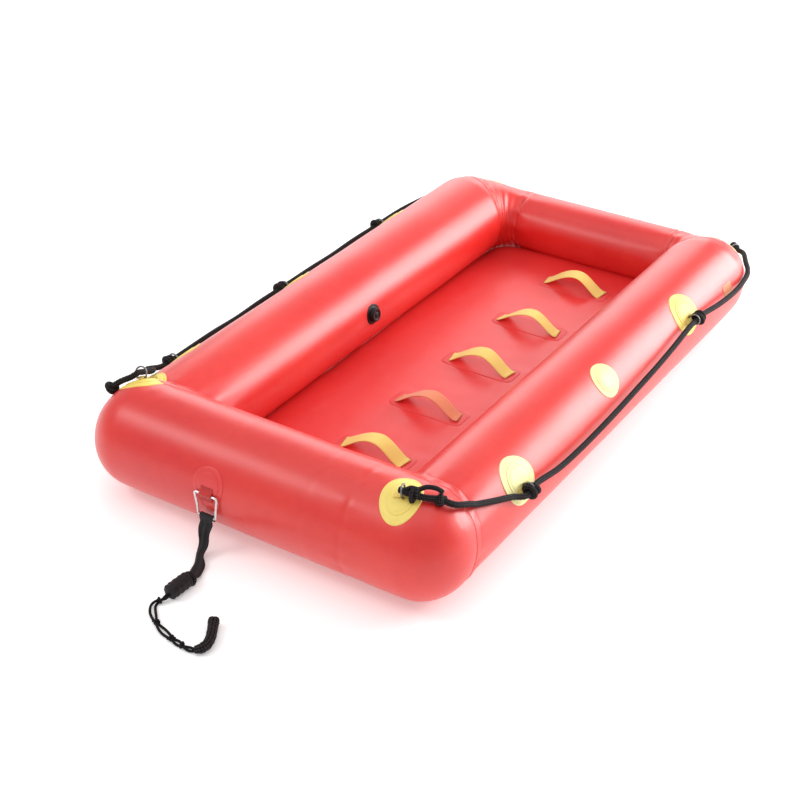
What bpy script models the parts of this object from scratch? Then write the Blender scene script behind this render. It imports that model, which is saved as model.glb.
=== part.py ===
"""Inflatable rescue raft: a ring of red air tubes round a flat floor, standing on the ground.

Metres, +Z up. Bow at -Y, stern at +Y, port at +X, starboard at -X.
The origin is on the ground under the middle of the hull.
"""
import math

import bmesh
import bpy
from mathutils import Matrix, Vector
from mathutils.bvhtree import BVHTree

# Hull sizes
HALF_BEAM = 0.600
HALF_LENGTH = 1.053
MID_Y = 0.0053
SIDE_R = 0.1445
BOW_R = 0.154
STERN_R = 0.104
BOW_REACH = 0.605
BOW_END = 0.140
BEND_R = 0.170
SEAM_ANGLE = math.radians(24.0)
SEAM_GAP = 0.0005

# Lines that the hull is built on
SIDE_X = HALF_BEAM - SIDE_R
BOW_Y = MID_Y - (HALF_LENGTH - BOW_R)
STERN_Y = MID_Y + HALF_LENGTH - STERN_R
BEND_Y = STERN_Y - BEND_R
BEND_X = SIDE_X - BEND_R

# Floor and its lifting straps
FLOOR_TOP = 0.035
FLOOR_BOTTOM = 0.003
STRAP_XS = (0.028, 0.032, 0.036, 0.038, 0.037)
STRAP_YS = (-0.493, -0.205, 0.087, 0.392, 0.702)
STRAP_WIDTH = 0.050
STRAP_THICK = 0.0026
STRAP_FOOT = 0.012
STRAP_HALF = 0.108
STRAP_RISE = 0.051

# Rope, rings and pads along the outside
ROPE_R = 0.0080
PAD_R = 0.0665
PAD_LIFT = 0.0009
RING_WIRE = 0.0025
RING_R = 0.0165
RING_RISE = 0.0160
TAB_LIFT = 0.0042

# Bow ring and tether
BOW_RING_X = -0.120
TETHER_WIDTH = 0.040
TETHER_THICK = 0.0030

RED = (0.72, 0.035, 0.030)
DARK_RED = (0.50, 0.012, 0.016)
YELLOW = (0.90, 0.62, 0.06)
PALE_YELLOW = (0.88, 0.74, 0.25)
BLACK = (0.020, 0.018, 0.020)
STEEL = (0.62, 0.62, 0.64)
ORANGE = (0.88, 0.36, 0.16)


def clear_scene():
    for item in list(bpy.data.objects):
        bpy.data.objects.remove(item, do_unlink=True)


def material(name, colour, roughness, metallic=0.0):
    found = bpy.data.materials.get(name)
    if found:
        return found
    made = bpy.data.materials.new(name)
    made.use_nodes = True
    shader = made.node_tree.nodes["Principled BSDF"]
    shader.inputs["Base Color"].default_value = (*colour, 1.0)
    shader.inputs["Roughness"].default_value = roughness
    shader.inputs["Metallic"].default_value = metallic
    return made


def add_object(name, mesh_points, mesh_faces, surface, smooth=True):
    """Make one closed body from points and faces and link it to the scene."""
    mesh = bpy.data.meshes.new(name)
    shape = bmesh.new()
    corners = [shape.verts.new(point) for point in mesh_points]
    for face in mesh_faces:
        shape.faces.new([corners[index] for index in face])
    bmesh.ops.recalc_face_normals(shape, faces=shape.faces)
    for face in shape.faces:
        face.smooth = smooth
    shape.to_mesh(mesh)
    shape.free()
    made = bpy.data.objects.new(name, mesh)
    made.data.materials.append(surface)
    bpy.context.collection.objects.link(made)
    return made


def skin(rings, ends="fan", loop=False):
    """Join rings of points into one closed skin."""
    count = len(rings[0])
    points = [Vector(p) for ring in rings for p in ring]
    faces = []
    steps = len(rings) if loop else len(rings) - 1
    for row in range(steps):
        first = row * count
        second = ((row + 1) % len(rings)) * count
        for col in range(count):
            nxt = (col + 1) % count
            faces.append((first + col, first + nxt, second + nxt, second + col))
    if not loop:
        for start in (0, (len(rings) - 1) * count):
            if ends == "flat":
                faces.append(tuple(range(start, start + count)))
                continue
            middle = sum((points[start + k] for k in range(count)), Vector()) / count
            points.append(middle)
            hub = len(points) - 1
            for col in range(count):
                faces.append((start + col, start + (col + 1) % count, hub))
    return points, faces


# The tubes


def circle(centre, inward, radius, count=48):
    """A ring round a tube whose level side direction is inward."""
    up = Vector((0.0, 0.0, 1.0))
    return [centre + radius * (math.cos(a) * inward + math.sin(a) * up)
            for a in (2.0 * math.pi * k / count for k in range(count))]


def bow_profile(x):
    """Radius of the bow tube at x, rounded at both ends."""
    start = BOW_REACH - BOW_END
    over = abs(x) - start
    if over <= 0.0:
        return BOW_R
    share = min(1.0, over / BOW_END)
    return BOW_R * math.sqrt(max(0.0, 1.0 - share * share))


def build_bow(name, surface, grow=0.0, count=48):
    """The bow tube, or a copy of it grown a little to cut the side tubes with."""
    start = BOW_REACH - BOW_END
    stations = [start + BOW_END * math.sin(math.radians(a)) for a in (10, 20, 30, 40, 51, 62, 73, 83)]
    level = [-0.31, 0.0, 0.31]
    xs = [-s for s in reversed(stations)] + [-start] + level + [start] + stations
    rings = []
    for x in xs:
        radius = bow_profile(x) + grow
        rings.append([Vector((x, BOW_Y + radius * math.cos(a), BOW_R + radius * math.sin(a)))
                      for a in (2.0 * math.pi * k / count for k in range(count))])
    points, faces = skin(rings, ends="flat")
    points.append(Vector((-BOW_REACH - grow, BOW_Y, BOW_R)))
    points.append(Vector((BOW_REACH + grow, BOW_Y, BOW_R)))
    faces = [f for f in faces if len(f) == 4]
    last = (len(rings) - 1) * count
    for k in range(count):
        nxt = (k + 1) % count
        faces.append((k, nxt, len(points) - 2))
        faces.append((last + k, last + nxt, len(points) - 1))
    return add_object(name, points, faces, surface)


def bend_frame(angle, side):
    """Centre, level outward direction and radius of the stern bend at an angle."""
    centre = Vector((BEND_X + BEND_R * math.cos(angle), BEND_Y + BEND_R * math.sin(angle), 0.0))
    outward = Vector((math.cos(angle), math.sin(angle), 0.0))
    share = min(1.0, max(0.0, angle / math.radians(84.0)))
    ease = share * share * (3.0 - 2.0 * share)
    radius = SIDE_R + (STERN_R - SIDE_R) * ease
    centre.z = radius
    centre.x *= side
    outward.x *= side
    return centre, outward, radius


def build_side(name, side, surface, cutter, count=48):
    """A side tube from the bow tube's back to the seam in the stern bend."""
    outward = Vector((side, 0.0, 0.0))
    rings = []
    for y in (BOW_Y + 0.026, -0.70, -0.40, 0.0, 0.40, BEND_Y):
        rings.append(circle(Vector((side * SIDE_X, y, SIDE_R)), outward, SIDE_R, count))
    for step in (0.34, 0.67, 1.0):
        centre, out, radius = bend_frame((SEAM_ANGLE - 0.0008) * step, side)
        rings.append(circle(centre, out, radius, count))
    points, faces = skin(rings)
    made = add_object(name, points, faces, surface)
    seam = made.modifiers.new("bow_seam", "BOOLEAN")
    seam.operation = "DIFFERENCE"
    seam.solver = "EXACT"
    seam.object = cutter
    return made


def build_corner(name, side, surface, count=48):
    """The stern bend, tapering from the side tube to the thinner stern tube."""
    rings = []
    first = SEAM_ANGLE + 0.0022
    last = math.radians(90.0)
    steps = 8
    for k in range(steps + 1):
        centre, out, radius = bend_frame(first + (last - first) * k / steps, side)
        rings.append(circle(centre, out, radius, count))
    points, faces = skin(rings)
    return add_object(name, points, faces, surface)


def build_stern(surface, count=48):
    reach = BEND_X - SEAM_GAP
    rings = [circle(Vector((x, STERN_Y, STERN_R)), Vector((0.0, 1.0, 0.0)), STERN_R, count)
             for x in (-reach, 0.0, reach)]
    points, faces = skin(rings)
    return add_object("tube_stern", points, faces, surface)


# The floor


def floor_outline(z, inset):
    """Outline of the floor at height z, held clear of every tube."""

    def reach(radius):
        drop = radius - z
        return math.sqrt(max(0.0, radius * radius - drop * drop)) + 0.0012 + inset

    front = BOW_Y + reach(BOW_R)
    outline = []
    for side in (1.0, -1.0):
        run = []
        edge = SIDE_X - reach(SIDE_R)
        for k in range(9):
            run.append(Vector((side * edge, front + (BEND_Y - front) * k / 8.0, z)))
        for k in range(1, 9):
            centre, out, radius = bend_frame(math.radians(90.0) * k / 8.0, side)
            spot = centre - out * reach(radius)
            run.append(Vector((spot.x, spot.y, z)))
        for share in (0.66, 0.33):
            run.append(Vector((side * BEND_X * share, STERN_Y - reach(STERN_R), z)))
        outline += run if side > 0 else list(reversed(run))
    return outline


def build_floor(surface):
    levels = [(FLOOR_BOTTOM, 0.005), (0.0045, 0.001), (0.007, 0.0), (0.011, 0.0), (0.016, 0.0),
              (0.022, 0.0), (0.028, 0.0), (0.032, 0.001), (FLOOR_TOP, 0.005)]
    points, faces = skin([floor_outline(z, inset) for z, inset in levels], ends="flat")
    return add_object("floor_panel", points, faces, surface)


# Webbing and wire


def arch_line(half, foot, rise, lift, steps=14, under=None):
    """Centre line of a webbing arch with a foot at each end, on a flat or on a round tube."""
    line = [Vector((-half, 0.0, lift))]
    span = half - foot
    for k in range(steps + 1):
        t = -1.0 + 2.0 * k / steps
        height = lift + rise * (math.cos(t * math.pi) * 0.5 + 0.5) ** 0.80
        line.append(Vector((t * span, 0.0, height)))
    line.append(Vector((half, 0.0, lift)))
    if under:
        for point in line:
            point.z -= under - math.sqrt(under * under - point.x * point.x)
    return line


def ribbon(name, line, width, thick, place, surface):
    """A flat band that follows a line in its own X-Z plane."""
    rings = []
    for k, point in enumerate(line):
        ahead = line[min(k + 1, len(line) - 1)] - line[max(k - 1, 0)]
        across = Vector((-ahead.z, 0.0, ahead.x)).normalized() * thick * 0.5
        side = Vector((0.0, width * 0.5, 0.0))
        rings.append([point + across + side, point + across - side,
                      point - across - side, point - across + side])
    points, faces = skin(rings, ends="flat")
    made = add_object(name, points, faces, surface, smooth=False)
    made.matrix_world = place
    return made


def smooth_line(marks, per_span):
    """Catmull-Rom line through the marks."""
    out = []
    count = len(marks)
    for k in range(count - 1):
        a = marks[max(k - 1, 0)]
        b, c = marks[k], marks[k + 1]
        d = marks[min(k + 2, count - 1)]
        for s in range(per_span):
            t = s / per_span
            out.append(0.5 * ((2 * b) + (c - a) * t + (2 * a - 5 * b + 4 * c - d) * t * t
                              + (3 * b - a - 3 * c + d) * t * t * t))
    out.append(marks[-1].copy())
    return out


def frames_along(line, first_side):
    """Side and lift directions carried along a line without twist."""
    frames = []
    side = first_side.copy()
    for k in range(len(line)):
        ahead = (line[min(k + 1, len(line) - 1)] - line[max(k - 1, 0)]).normalized()
        side = (side - ahead * side.dot(ahead)).normalized()
        frames.append((side, ahead.cross(side)))
    return frames


def round_run(name, line, radii, surface, sides=12, loop=False):
    """A round rope or wire along a line, with its own radius at each point."""
    rings = []
    if loop:
        middle = sum(line, Vector()) / len(line)
        normal = (line[0] - middle).cross(line[1] - middle).normalized()
        frames = []
        for k in range(len(line)):
            ahead = (line[(k + 1) % len(line)] - line[k - 1]).normalized()
            frames.append((normal, ahead.cross(normal)))
    else:
        ahead = (line[1] - line[0]).normalized()
        frames = frames_along(line, ahead.orthogonal())
    for k, point in enumerate(line):
        side, lift = frames[k]
        rings.append([point + radii[k] * (math.cos(a) * side + math.sin(a) * lift)
                      for a in (2.0 * math.pi * s / sides for s in range(sides))])
    points, faces = skin(rings, loop=loop)
    return add_object(name, points, faces, surface)


# Places on the hull


def side_point(side, y, angle):
    """Point on a side tube or its stern bend, at an angle above level."""
    if y <= BEND_Y:
        centre = Vector((side * SIDE_X, y, SIDE_R))
        out, radius = Vector((side, 0.0, 0.0)), SIDE_R
    else:
        centre, out, radius = bend_frame((y - BEND_Y) / BEND_R, side)
    return centre + radius * (math.cos(angle) * out + Vector((0.0, 0.0, math.sin(angle))))


def side_place(side, y, angle):
    """Point and outward normal on a side tube or its stern bend."""
    step = 0.002
    along = side_point(side, y + step, angle) - side_point(side, y - step, angle)
    around = side_point(side, y, angle + step) - side_point(side, y, angle - step)
    return side_point(side, y, angle), side * along.cross(around).normalized()


def bow_place(x, angle, off=0.0):
    """Point and normal on the bow tube, at an angle up from astern."""
    radius = bow_profile(x)
    start = BOW_REACH - BOW_END
    turn = Vector((0.0, math.cos(angle), math.sin(angle)))
    point = Vector((x, BOW_Y, BOW_R)) + turn * radius
    normal = turn * (radius / (BOW_R * BOW_R))
    if abs(x) > start:
        normal.x = math.copysign((abs(x) - start) / (BOW_END * BOW_END), x)
    normal.normalize()
    return point + normal * off, normal


def basis(origin, run, normal):
    """Place with local X along the run and local Z along the normal."""
    z = normal.normalized()
    x = (run - z * run.dot(z)).normalized()
    y = z.cross(x)
    return Matrix((
        (x.x, y.x, z.x, origin.x),
        (x.y, y.y, z.y, origin.y),
        (x.z, y.z, z.z, origin.z),
        (0.0, 0.0, 0.0, 1.0),
    ))


def hull_tree(parts):
    points, faces = [], []
    for part in parts:
        first = len(points)
        points += [v.co.copy() for v in part.data.vertices]
        faces += [tuple(first + i for i in p.vertices) for p in part.data.polygons]
    return BVHTree.FromPolygons(points, faces)


def patch(name, tree, place, outline_rows, lift, surface):
    """A thin glued patch laid on the hull; each row is a scaled outline and its thickness."""
    inverse_normal = -(place.to_3x3() @ Vector((0.0, 0.0, 1.0)))

    def laid(local, height):
        start = place @ Vector((local[0], local[1], 0.06))
        hit = tree.ray_cast(start, inverse_normal)[0]
        return hit - inverse_normal * height

    count = len(outline_rows[0][0])
    top = [[laid(p, lift + thick) for p in row] for row, thick in outline_rows]
    low = [[laid(p, lift) for p in row] for row, thick in outline_rows]
    points = [laid((0.0, 0.0), lift + outline_rows[0][1]), laid((0.0, 0.0), lift)]
    faces = []
    for rows, hub in ((top, 0), (low, 1)):
        first = len(points)
        for row in rows:
            points += row
        for k in range(count):
            faces.append((hub, first + k, first + (k + 1) % count))
        for r in range(len(rows) - 1):
            a, b = first + r * count, first + (r + 1) * count
            for k in range(count):
                nxt = (k + 1) % count
                faces.append((a + k, b + k, b + nxt, a + nxt))
    rim_top = 2 + (len(top) - 1) * count
    rim_low = rim_top + len(top) * count
    for k in range(count):
        nxt = (k + 1) % count
        faces.append((rim_top + k, rim_top + nxt, rim_low + nxt, rim_low + k))
    return add_object(name, points, faces, surface)


def round_rows(steps, count=22):
    return [([(r * math.cos(a), r * math.sin(a))
              for a in (2.0 * math.pi * k / count for k in range(count))], thick)
            for r, thick in steps]


def box_outline(half_x, half_y, corner, count=5):
    out = []
    for cx, cy, start in ((1, 1, 0.0), (-1, 1, 90.0), (-1, -1, 180.0), (1, -1, 270.0)):
        for k in range(count):
            a = math.radians(start + 90.0 * k / (count - 1))
            out.append((cx * (half_x - corner) + corner * math.cos(a),
                        cy * (half_y - corner) + corner * math.sin(a)))
    return out


def scaled(outline, share):
    return [(share * x, share * y) for x, y in outline]


def split_edges(outline, longest):
    """The same outline with no edge longer than the given length."""
    out = []
    for (ax, ay), (bx, by) in zip(outline, outline[1:] + outline[:1]):
        parts = max(1, math.ceil(math.hypot(bx - ax, by - ay) / longest))
        out += [(ax + (bx - ax) * k / parts, ay + (by - ay) * k / parts) for k in range(parts)]
    return out


# Build everything

clear_scene()

tube_skin = material("tube_skin", RED, 0.32)
deep_skin = material("deep_skin", DARK_RED, 0.36)
floor_skin = material("floor_skin", RED, 0.40)
patch_skin = material("patch_skin", RED, 0.45)
yellow_web = material("yellow_web", YELLOW, 0.70)
yellow_pad = material("yellow_pad", PALE_YELLOW, 0.55)
black_rope = material("black_rope", BLACK, 0.85)
black_plastic = material("black_plastic", BLACK, 0.45)
steel_wire = material("steel_wire", STEEL, 0.25, 1.0)
orange_patch = material("orange_patch", ORANGE, 0.55)

bow = build_bow("tube_bow", tube_skin)
bow_cutter = build_bow("bow_cutter", tube_skin, grow=0.0006)
bow_cutter.hide_render = True
bow_cutter.display_type = "WIRE"
port = build_side("tube_port", 1.0, tube_skin, bow_cutter)
starboard = build_side("tube_starboard", -1.0, tube_skin, bow_cutter)
corner_port = build_corner("corner_port", 1.0, tube_skin)
corner_starboard = build_corner("corner_starboard", -1.0, tube_skin)
stern = build_stern(tube_skin)
floor = build_floor(floor_skin)
tree = hull_tree([bow, port, starboard, corner_port, corner_starboard, stern])
floor_tree = hull_tree([floor])

# Lifting straps on the floor, each on its own glued patch
for number, (x, y) in enumerate(zip(STRAP_XS, STRAP_YS), start=1):
    level = Matrix.Translation((x, y, FLOOR_TOP))
    shape = box_outline(0.128, 0.044, 0.020)
    rows = [(scaled(shape, 0.5), 0.0012), (shape, 0.0012)]
    patch("strap_patch_%d" % number, floor_tree, level, rows, 0.0004, patch_skin)
    base = Matrix.Translation((x, y, FLOOR_TOP + 0.0016 + 0.0004 + STRAP_THICK * 0.5))
    line = arch_line(STRAP_HALF, STRAP_FOOT, STRAP_RISE, 0.0)
    ribbon("strap_%d" % number, line, STRAP_WIDTH, STRAP_THICK, base, yellow_web)

# Pads, tabs and rings that hold the grab lines
PAD_ROWS = [(0.016, 0.0028), (0.031, 0.0028), (0.0450, 0.0028), (0.0465, 0.0014), (0.0565, 0.0014),
            (PAD_R, 0.0013)]
TAB_DROP = math.radians(10.0)


def pad_at(tag, point, normal, run, lift=PAD_LIFT):
    place = basis(point, run, normal)
    patch("pad_" + tag, tree, place, round_rows(PAD_ROWS), lift, yellow_pad)


def ring_at(tag, point, normal, run, extra=0.0):
    """Webbing tab with a steel ring standing in it; returns the ring's centre, run and lift."""
    base = TAB_LIFT + extra
    place = basis(point + normal * base, run, normal)
    line = arch_line(0.026, 0.012, 0.0058, 0.0006, steps=10)
    ribbon("pad_tab_" + tag, line, 0.018, 0.0016, place, yellow_web)
    bar = point + normal * (base + 0.0001 + RING_WIRE)
    turned = place.to_3x3()
    lift, across = turned @ Vector((0.0, 0.0, 1.0)), turned @ Vector((0.0, 1.0, 0.0))
    shape = [(-0.0105, 0.0), (0.0105, 0.0), (0.0138, 0.0020)]
    shape += [(RING_R * math.cos(a), RING_RISE + RING_R * math.sin(a))
              for a in (math.radians(20.0 * k - 20.0) for k in range(12))]
    shape.append((-0.0138, 0.0020))
    loop = [bar + u * across + v * lift for u, v in shape]
    round_run("pad_ring_" + tag, loop, [RING_WIRE] * len(loop), steel_wire, sides=6, loop=True)
    return bar + lift * RING_RISE, turned @ Vector((1.0, 0.0, 0.0)), lift


ASTERN = Vector((0.0, 1.0, 0.0))
PORT_PADS = {2: (-0.615, 32.0), 3: (-0.085, 45.0), 4: (0.418, 36.0), 5: (BEND_Y + 0.140, 33.0)}
STARBOARD_PADS = {2: (-0.606, 33.0), 3: (-0.068, 33.0), 4: (0.473, 33.0), 5: (BEND_Y + 0.140, 33.0)}
rings_at = {}

point, normal = bow_place(0.430, math.radians(104.0))
pad_at("port_1", point, normal, Vector((1.0, 0.35, 0.0)), lift=0.0012)
rings_at["port_1"] = ring_at("port_1", point, normal, Vector((1.0, 0.35, 0.0)), extra=0.0003)
point, normal = bow_place(-0.515, math.radians(68.0))
pad_at("starboard_1", point, normal, Vector((-0.4, 1.0, 0.0)), lift=0.0012)
rings_at["starboard_1"] = ring_at("starboard_1", point, normal, Vector((-0.4, 1.0, 0.0)), extra=0.0003)

for word, side, pads in (("port", 1.0, PORT_PADS), ("starboard", -1.0, STARBOARD_PADS)):
    for number, (y, degrees) in pads.items():
        angle = math.radians(degrees)
        tag = "%s_%d" % (word, number)
        point, normal = side_place(side, y, angle)
        run = ASTERN
        if number == 5:
            run = Vector((-side * math.sin(0.82), math.cos(0.82), 0.0))
        pad_at(tag, point, normal, run)
        if tag == "port_3":
            continue
        point, normal = side_place(side, y, angle - TAB_DROP)
        rings_at[tag] = ring_at(tag, point, normal, run)


def rope_clear(point, side, gap=0.0130):
    """Push a rope point out of the side tube, bend and bow tube where it is too near."""
    result = point.copy()
    for _ in range(2):
        if result.y <= BEND_Y:
            centre, radius = Vector((side * SIDE_X, result.y, SIDE_R)), SIDE_R
        else:
            flat = Vector((abs(result.x) - BEND_X, result.y - BEND_Y))
            angle = min(math.radians(90.0), math.atan2(flat.y, max(1e-6, flat.x)))
            centre, out, radius = bend_frame(angle, side)
        away = result - centre
        if away.length < radius + gap and result.y > BOW_Y + 0.03:
            result = centre + away.normalized() * (radius + gap)
        near_x = max(-(BOW_REACH - BOW_END), min(BOW_REACH - BOW_END, result.x))
        away = result - Vector((near_x, BOW_Y, BOW_R))
        if away.length < BOW_R + gap:
            result = Vector((near_x, BOW_Y, BOW_R)) + away.normalized() * (BOW_R + gap)
    return result


def through(tag, along=0.0, lift=0.0, out=0.004, down=0.0034):
    """A rope point in or near a ring, measured from where the rope lies in it."""
    centre, run, normal = rings_at[tag]
    outward = Vector((normal.x, normal.y, 0.0)).normalized()
    return centre + outward * out - Vector((0.0, 0.0, down)) + run * along + normal * lift


def grab_line(name, side, marks, knots):
    """A rope through its rings, with a knot at each listed mark."""
    line = [rope_clear(p, side) for p in smooth_line(marks, 3)]
    radii = []
    for point in line:
        size = ROPE_R
        for spot, reach, bulge in knots:
            away = (point - spot).length
            if away < reach:
                size += bulge * (0.5 + 0.5 * math.cos(math.pi * away / reach))
        radii.append(size)
    return round_run(name, line, radii, black_rope, sides=9)


p2, p4, p5 = through("port_2"), through("port_4"), through("port_5")
port_marks = [
    through("port_1", -0.028, 0.003, 0.0, 0.0), through("port_1", 0.0, 0.0, 0.0, 0.0),
    through("port_1", 0.037, 0.002, 0.0, 0.0), Vector((0.518, -0.889, 0.300)),
    Vector((0.558, -0.832, 0.264)), Vector((0.592, -0.740, 0.228)), through("port_2", -0.060, 0.002),
    p2, through("port_2", 0.040), Vector((0.618, -0.470, 0.186)),
    Vector((0.619, -0.356, 0.180)), Vector((0.619, -0.236, 0.180)), Vector((0.619, -0.116, 0.184)),
    Vector((0.618, 0.010, 0.190)), Vector((0.617, 0.142, 0.197)), Vector((0.614, 0.270, 0.206)),
    through("port_4", -0.045), p4, through("port_4", 0.045),
    Vector((0.618, 0.580, 0.200)), Vector((0.618, 0.700, 0.188)), Vector((0.608, 0.800, 0.182)),
    Vector((0.582, 0.880, 0.178)), through("port_5", -0.045, 0.001), p5, through("port_5", 0.034, 0.001),
]
grab_line("grab_line_port", 1.0, port_marks, [
    (through("port_1", 0.037, 0.002, 0.0, 0.0), 0.030, 0.0035),
    (through("port_2", 0.024), 0.020, 0.0060),
    (through("port_4", 0.024), 0.020, 0.0060),
    (through("port_5", 0.028), 0.018, 0.0045),
])

s2, s3, s4, s5 = [through("starboard_%d" % k) for k in (2, 3, 4, 5)]
star_marks = [
    through("starboard_1", -0.028, 0.003, 0.0, 0.0), through("starboard_1", 0.0, 0.0, 0.0, 0.0),
    through("starboard_1", 0.036, 0.001, 0.0, 0.0), through("starboard_1", 0.085, -0.006, 0.0, 0.0),
    Vector((-0.602, -0.730, 0.240)), through("starboard_2", -0.050, 0.001), s2,
    through("starboard_2", 0.045), Vector((-0.617, -0.420, 0.205)), Vector((-0.618, -0.300, 0.200)),
    Vector((-0.617, -0.190, 0.204)), through("starboard_3", -0.045), s3,
    through("starboard_3", 0.045), Vector((-0.617, 0.090, 0.204)), Vector((-0.618, 0.200, 0.201)),
    Vector((-0.617, 0.320, 0.205)), through("starboard_4", -0.045), s4,
    through("starboard_4", 0.045), Vector((-0.617, 0.610, 0.202)), Vector((-0.617, 0.710, 0.194)),
    Vector((-0.608, 0.800, 0.188)), Vector((-0.582, 0.880, 0.180)), through("starboard_5", -0.045, 0.001),
    s5, through("starboard_5", 0.034, 0.001),
]
grab_line("grab_line_starboard", -1.0, star_marks, [
    (through("starboard_1", 0.032, 0.002, 0.0, 0.0), 0.020, 0.0045),
    (through("starboard_2", 0.024), 0.020, 0.0060),
    (through("starboard_3", 0.024), 0.020, 0.0060),
    (through("starboard_4", 0.024), 0.020, 0.0060),
    (through("starboard_5", 0.028), 0.018, 0.0045),
])

# Blank label on the port tube and the valve inside the starboard tube
point, normal = side_place(1.0, 0.700, math.radians(17.0))
shape = split_edges(box_outline(0.030, 0.024, 0.005, count=3), 0.007)
patch("blank_label", tree, basis(point, ASTERN, normal),
      [(scaled(shape, share), 0.0008) for share in (0.33, 0.67, 1.0)], 0.0005, orange_patch)

VALVE_ANGLE = math.radians(173.0)
point, normal = side_place(-1.0, 0.0, VALVE_ANGLE)


def turned_piece(name, place, profile, surface, count=36):
    """A turned piece from radius and height pairs along its local Z."""
    rings = [[Vector((r * math.cos(a), r * math.sin(a), h))
              for a in (2.0 * math.pi * k / count for k in range(count))] for r, h in profile]
    points, faces = skin(rings)
    made = add_object(name, points, faces, surface)
    made.matrix_world = place
    return made


valve_place = basis(point, ASTERN, normal)
patch("valve_flange", tree, valve_place,
      round_rows([(0.015, 0.0022), (0.026, 0.0022), (0.0335, 0.0012)]), 0.0005, deep_skin)
turned_piece("valve_body", basis(point + normal * 0.0031, ASTERN, normal),
             [(0.0225, 0.0), (0.0250, 0.0010), (0.0250, 0.0060), (0.0232, 0.0075)], black_plastic)
turned_piece("valve_cap", basis(point + normal * 0.0110, ASTERN, normal),
             [(0.0190, 0.0), (0.0215, 0.0006), (0.0215, 0.0052), (0.0195, 0.0070)], black_plastic)

# Bow patch, tab and towing ring
point, normal = bow_place(BOW_RING_X, math.radians(163.5))
front = basis(point, Vector((1.0, 0.0, 0.0)), normal)
patch("bow_patch", tree, front, round_rows([(0.020, 0.0026), (0.036, 0.0026), (0.050, 0.0014)]),
      PAD_LIFT, patch_skin)
tab_point, tab_normal = bow_place(BOW_RING_X, math.radians(173.0))
bar_place = tab_point + tab_normal * 0.0085
RING_TOP_Z, bar_y = bar_place.z, bar_place.y
half_top, half_low, drop, ring_wire = 0.0370, 0.0295, 0.068, 0.0034
bar = [Vector((BOW_RING_X + sx, bar_y - dy, RING_TOP_Z - dz)) for sx, dy, dz in (
    (-half_top + 0.006, 0.0, 0.0), (half_top - 0.006, 0.0, 0.0), (half_top - 0.0015, 0.0, 0.002),
    (half_top, 0.0, 0.008), (half_low + 0.002, 0.001, 0.040), (half_low, 0.002, drop - 0.006),
    (half_low - 0.002, 0.002, drop - 0.0018), (half_low - 0.006, 0.002, drop),
    (-half_low + 0.006, 0.002, drop), (-half_low + 0.002, 0.002, drop - 0.0018),
    (-half_low, 0.002, drop - 0.006), (-half_low - 0.002, 0.001, 0.040),
    (-half_top, 0.0, 0.008), (-half_top + 0.0015, 0.0, 0.002))]
round_run("bow_ring", bar, [ring_wire] * len(bar), steel_wire, sides=10, loop=True)
tab_line = arch_line(0.021, 0.010, 0.0085, 0.0044, steps=10, under=BOW_R)
ribbon("bow_tab", tab_line, 0.040, 0.0016, basis(tab_point, Vector((0.0, 0.0, 1.0)), tab_normal), patch_skin)

# Tether: a flat strap, a toggle, a thin cord and its end, hanging down and lying on the ground
low_z = RING_TOP_Z - drop
ring_y = bar_y - 0.002
wrap = ring_wire + 0.0010 + TETHER_THICK * 0.5
hook = [Vector((BOW_RING_X, ring_y + wrap, low_z - dz)) for dz in (0.030, 0.020, 0.010)]
hook += [Vector((BOW_RING_X, ring_y + wrap * math.cos(a), low_z + wrap * math.sin(a)))
         for a in (math.pi * k / 10 for k in range(11))]
marks = [Vector((BOW_RING_X, ring_y - wrap, low_z - 0.006))]
marks += [Vector(m) for m in (
    (BOW_RING_X, ring_y - wrap, low_z - 0.018),
    (BOW_RING_X, -1.0690, 0.0780), (BOW_RING_X, -1.0735, 0.0523), (-0.1180, -1.0866, 0.0298),
    (-0.1110, -1.1055, 0.0135), (-0.1015, -1.1240, 0.0060), (-0.0895, -1.1440, 0.0032),
    (-0.0795, -1.1640, 0.0026), (-0.0720, -1.1840, 0.0026), (-0.0675, -1.1985, 0.0026),
    (-0.0668, -1.2098, 0.0026))]
line = hook + smooth_line(marks, 2)
rings = []
for spot, (side, lift) in zip(line, frames_along(line, Vector((1.0, 0.0, 0.0)))):
    a, b = side * TETHER_WIDTH * 0.5, lift * TETHER_THICK * 0.5
    ring = [spot + a + b, spot - a + b, spot - a - b, spot + a - b]
    rings.append([Vector((p.x, p.y, max(0.0006, p.z))) for p in ring])
points, faces = skin(rings, ends="flat")
add_object("tether_strap", points, faces, black_rope, smooth=False)

toggle = [Vector((-0.0668, -1.2106, 0.0210)), Vector((-0.0669, -1.2150, 0.0210)),
          Vector((-0.0692, -1.2760, 0.0210)), Vector((-0.0693, -1.2806, 0.0210))]
round_run("tether_toggle", toggle, [0.0180, 0.0205, 0.0205, 0.0180], black_rope, sides=20)

CORD_R = 0.0075
marks = [(-0.0694, -1.2815, 0.0185), (-0.0696, -1.2865, 0.0181), (-0.0735, -1.2955, 0.0135),
         (-0.0812, -1.3060, 0.0092), (-0.0855, -1.3165, CORD_R), (-0.0815, -1.3300, CORD_R),
         (-0.0690, -1.3455, CORD_R), (-0.0510, -1.3600, CORD_R), (-0.0300, -1.3740, CORD_R),
         (0.0030, -1.3885, CORD_R), (0.0400, -1.3985, CORD_R), (0.0700, -1.4045, CORD_R),
         (0.0920, -1.4062, CORD_R), (0.1080, -1.4060, 0.0085), (0.1180, -1.4042, 0.0100)]
line = smooth_line([Vector(m) + Vector((0.0, 0.0, 0.0004)) for m in marks], 3)
round_run("tether_cord", line, [CORD_R] * len(line), black_rope, sides=8)

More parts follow.
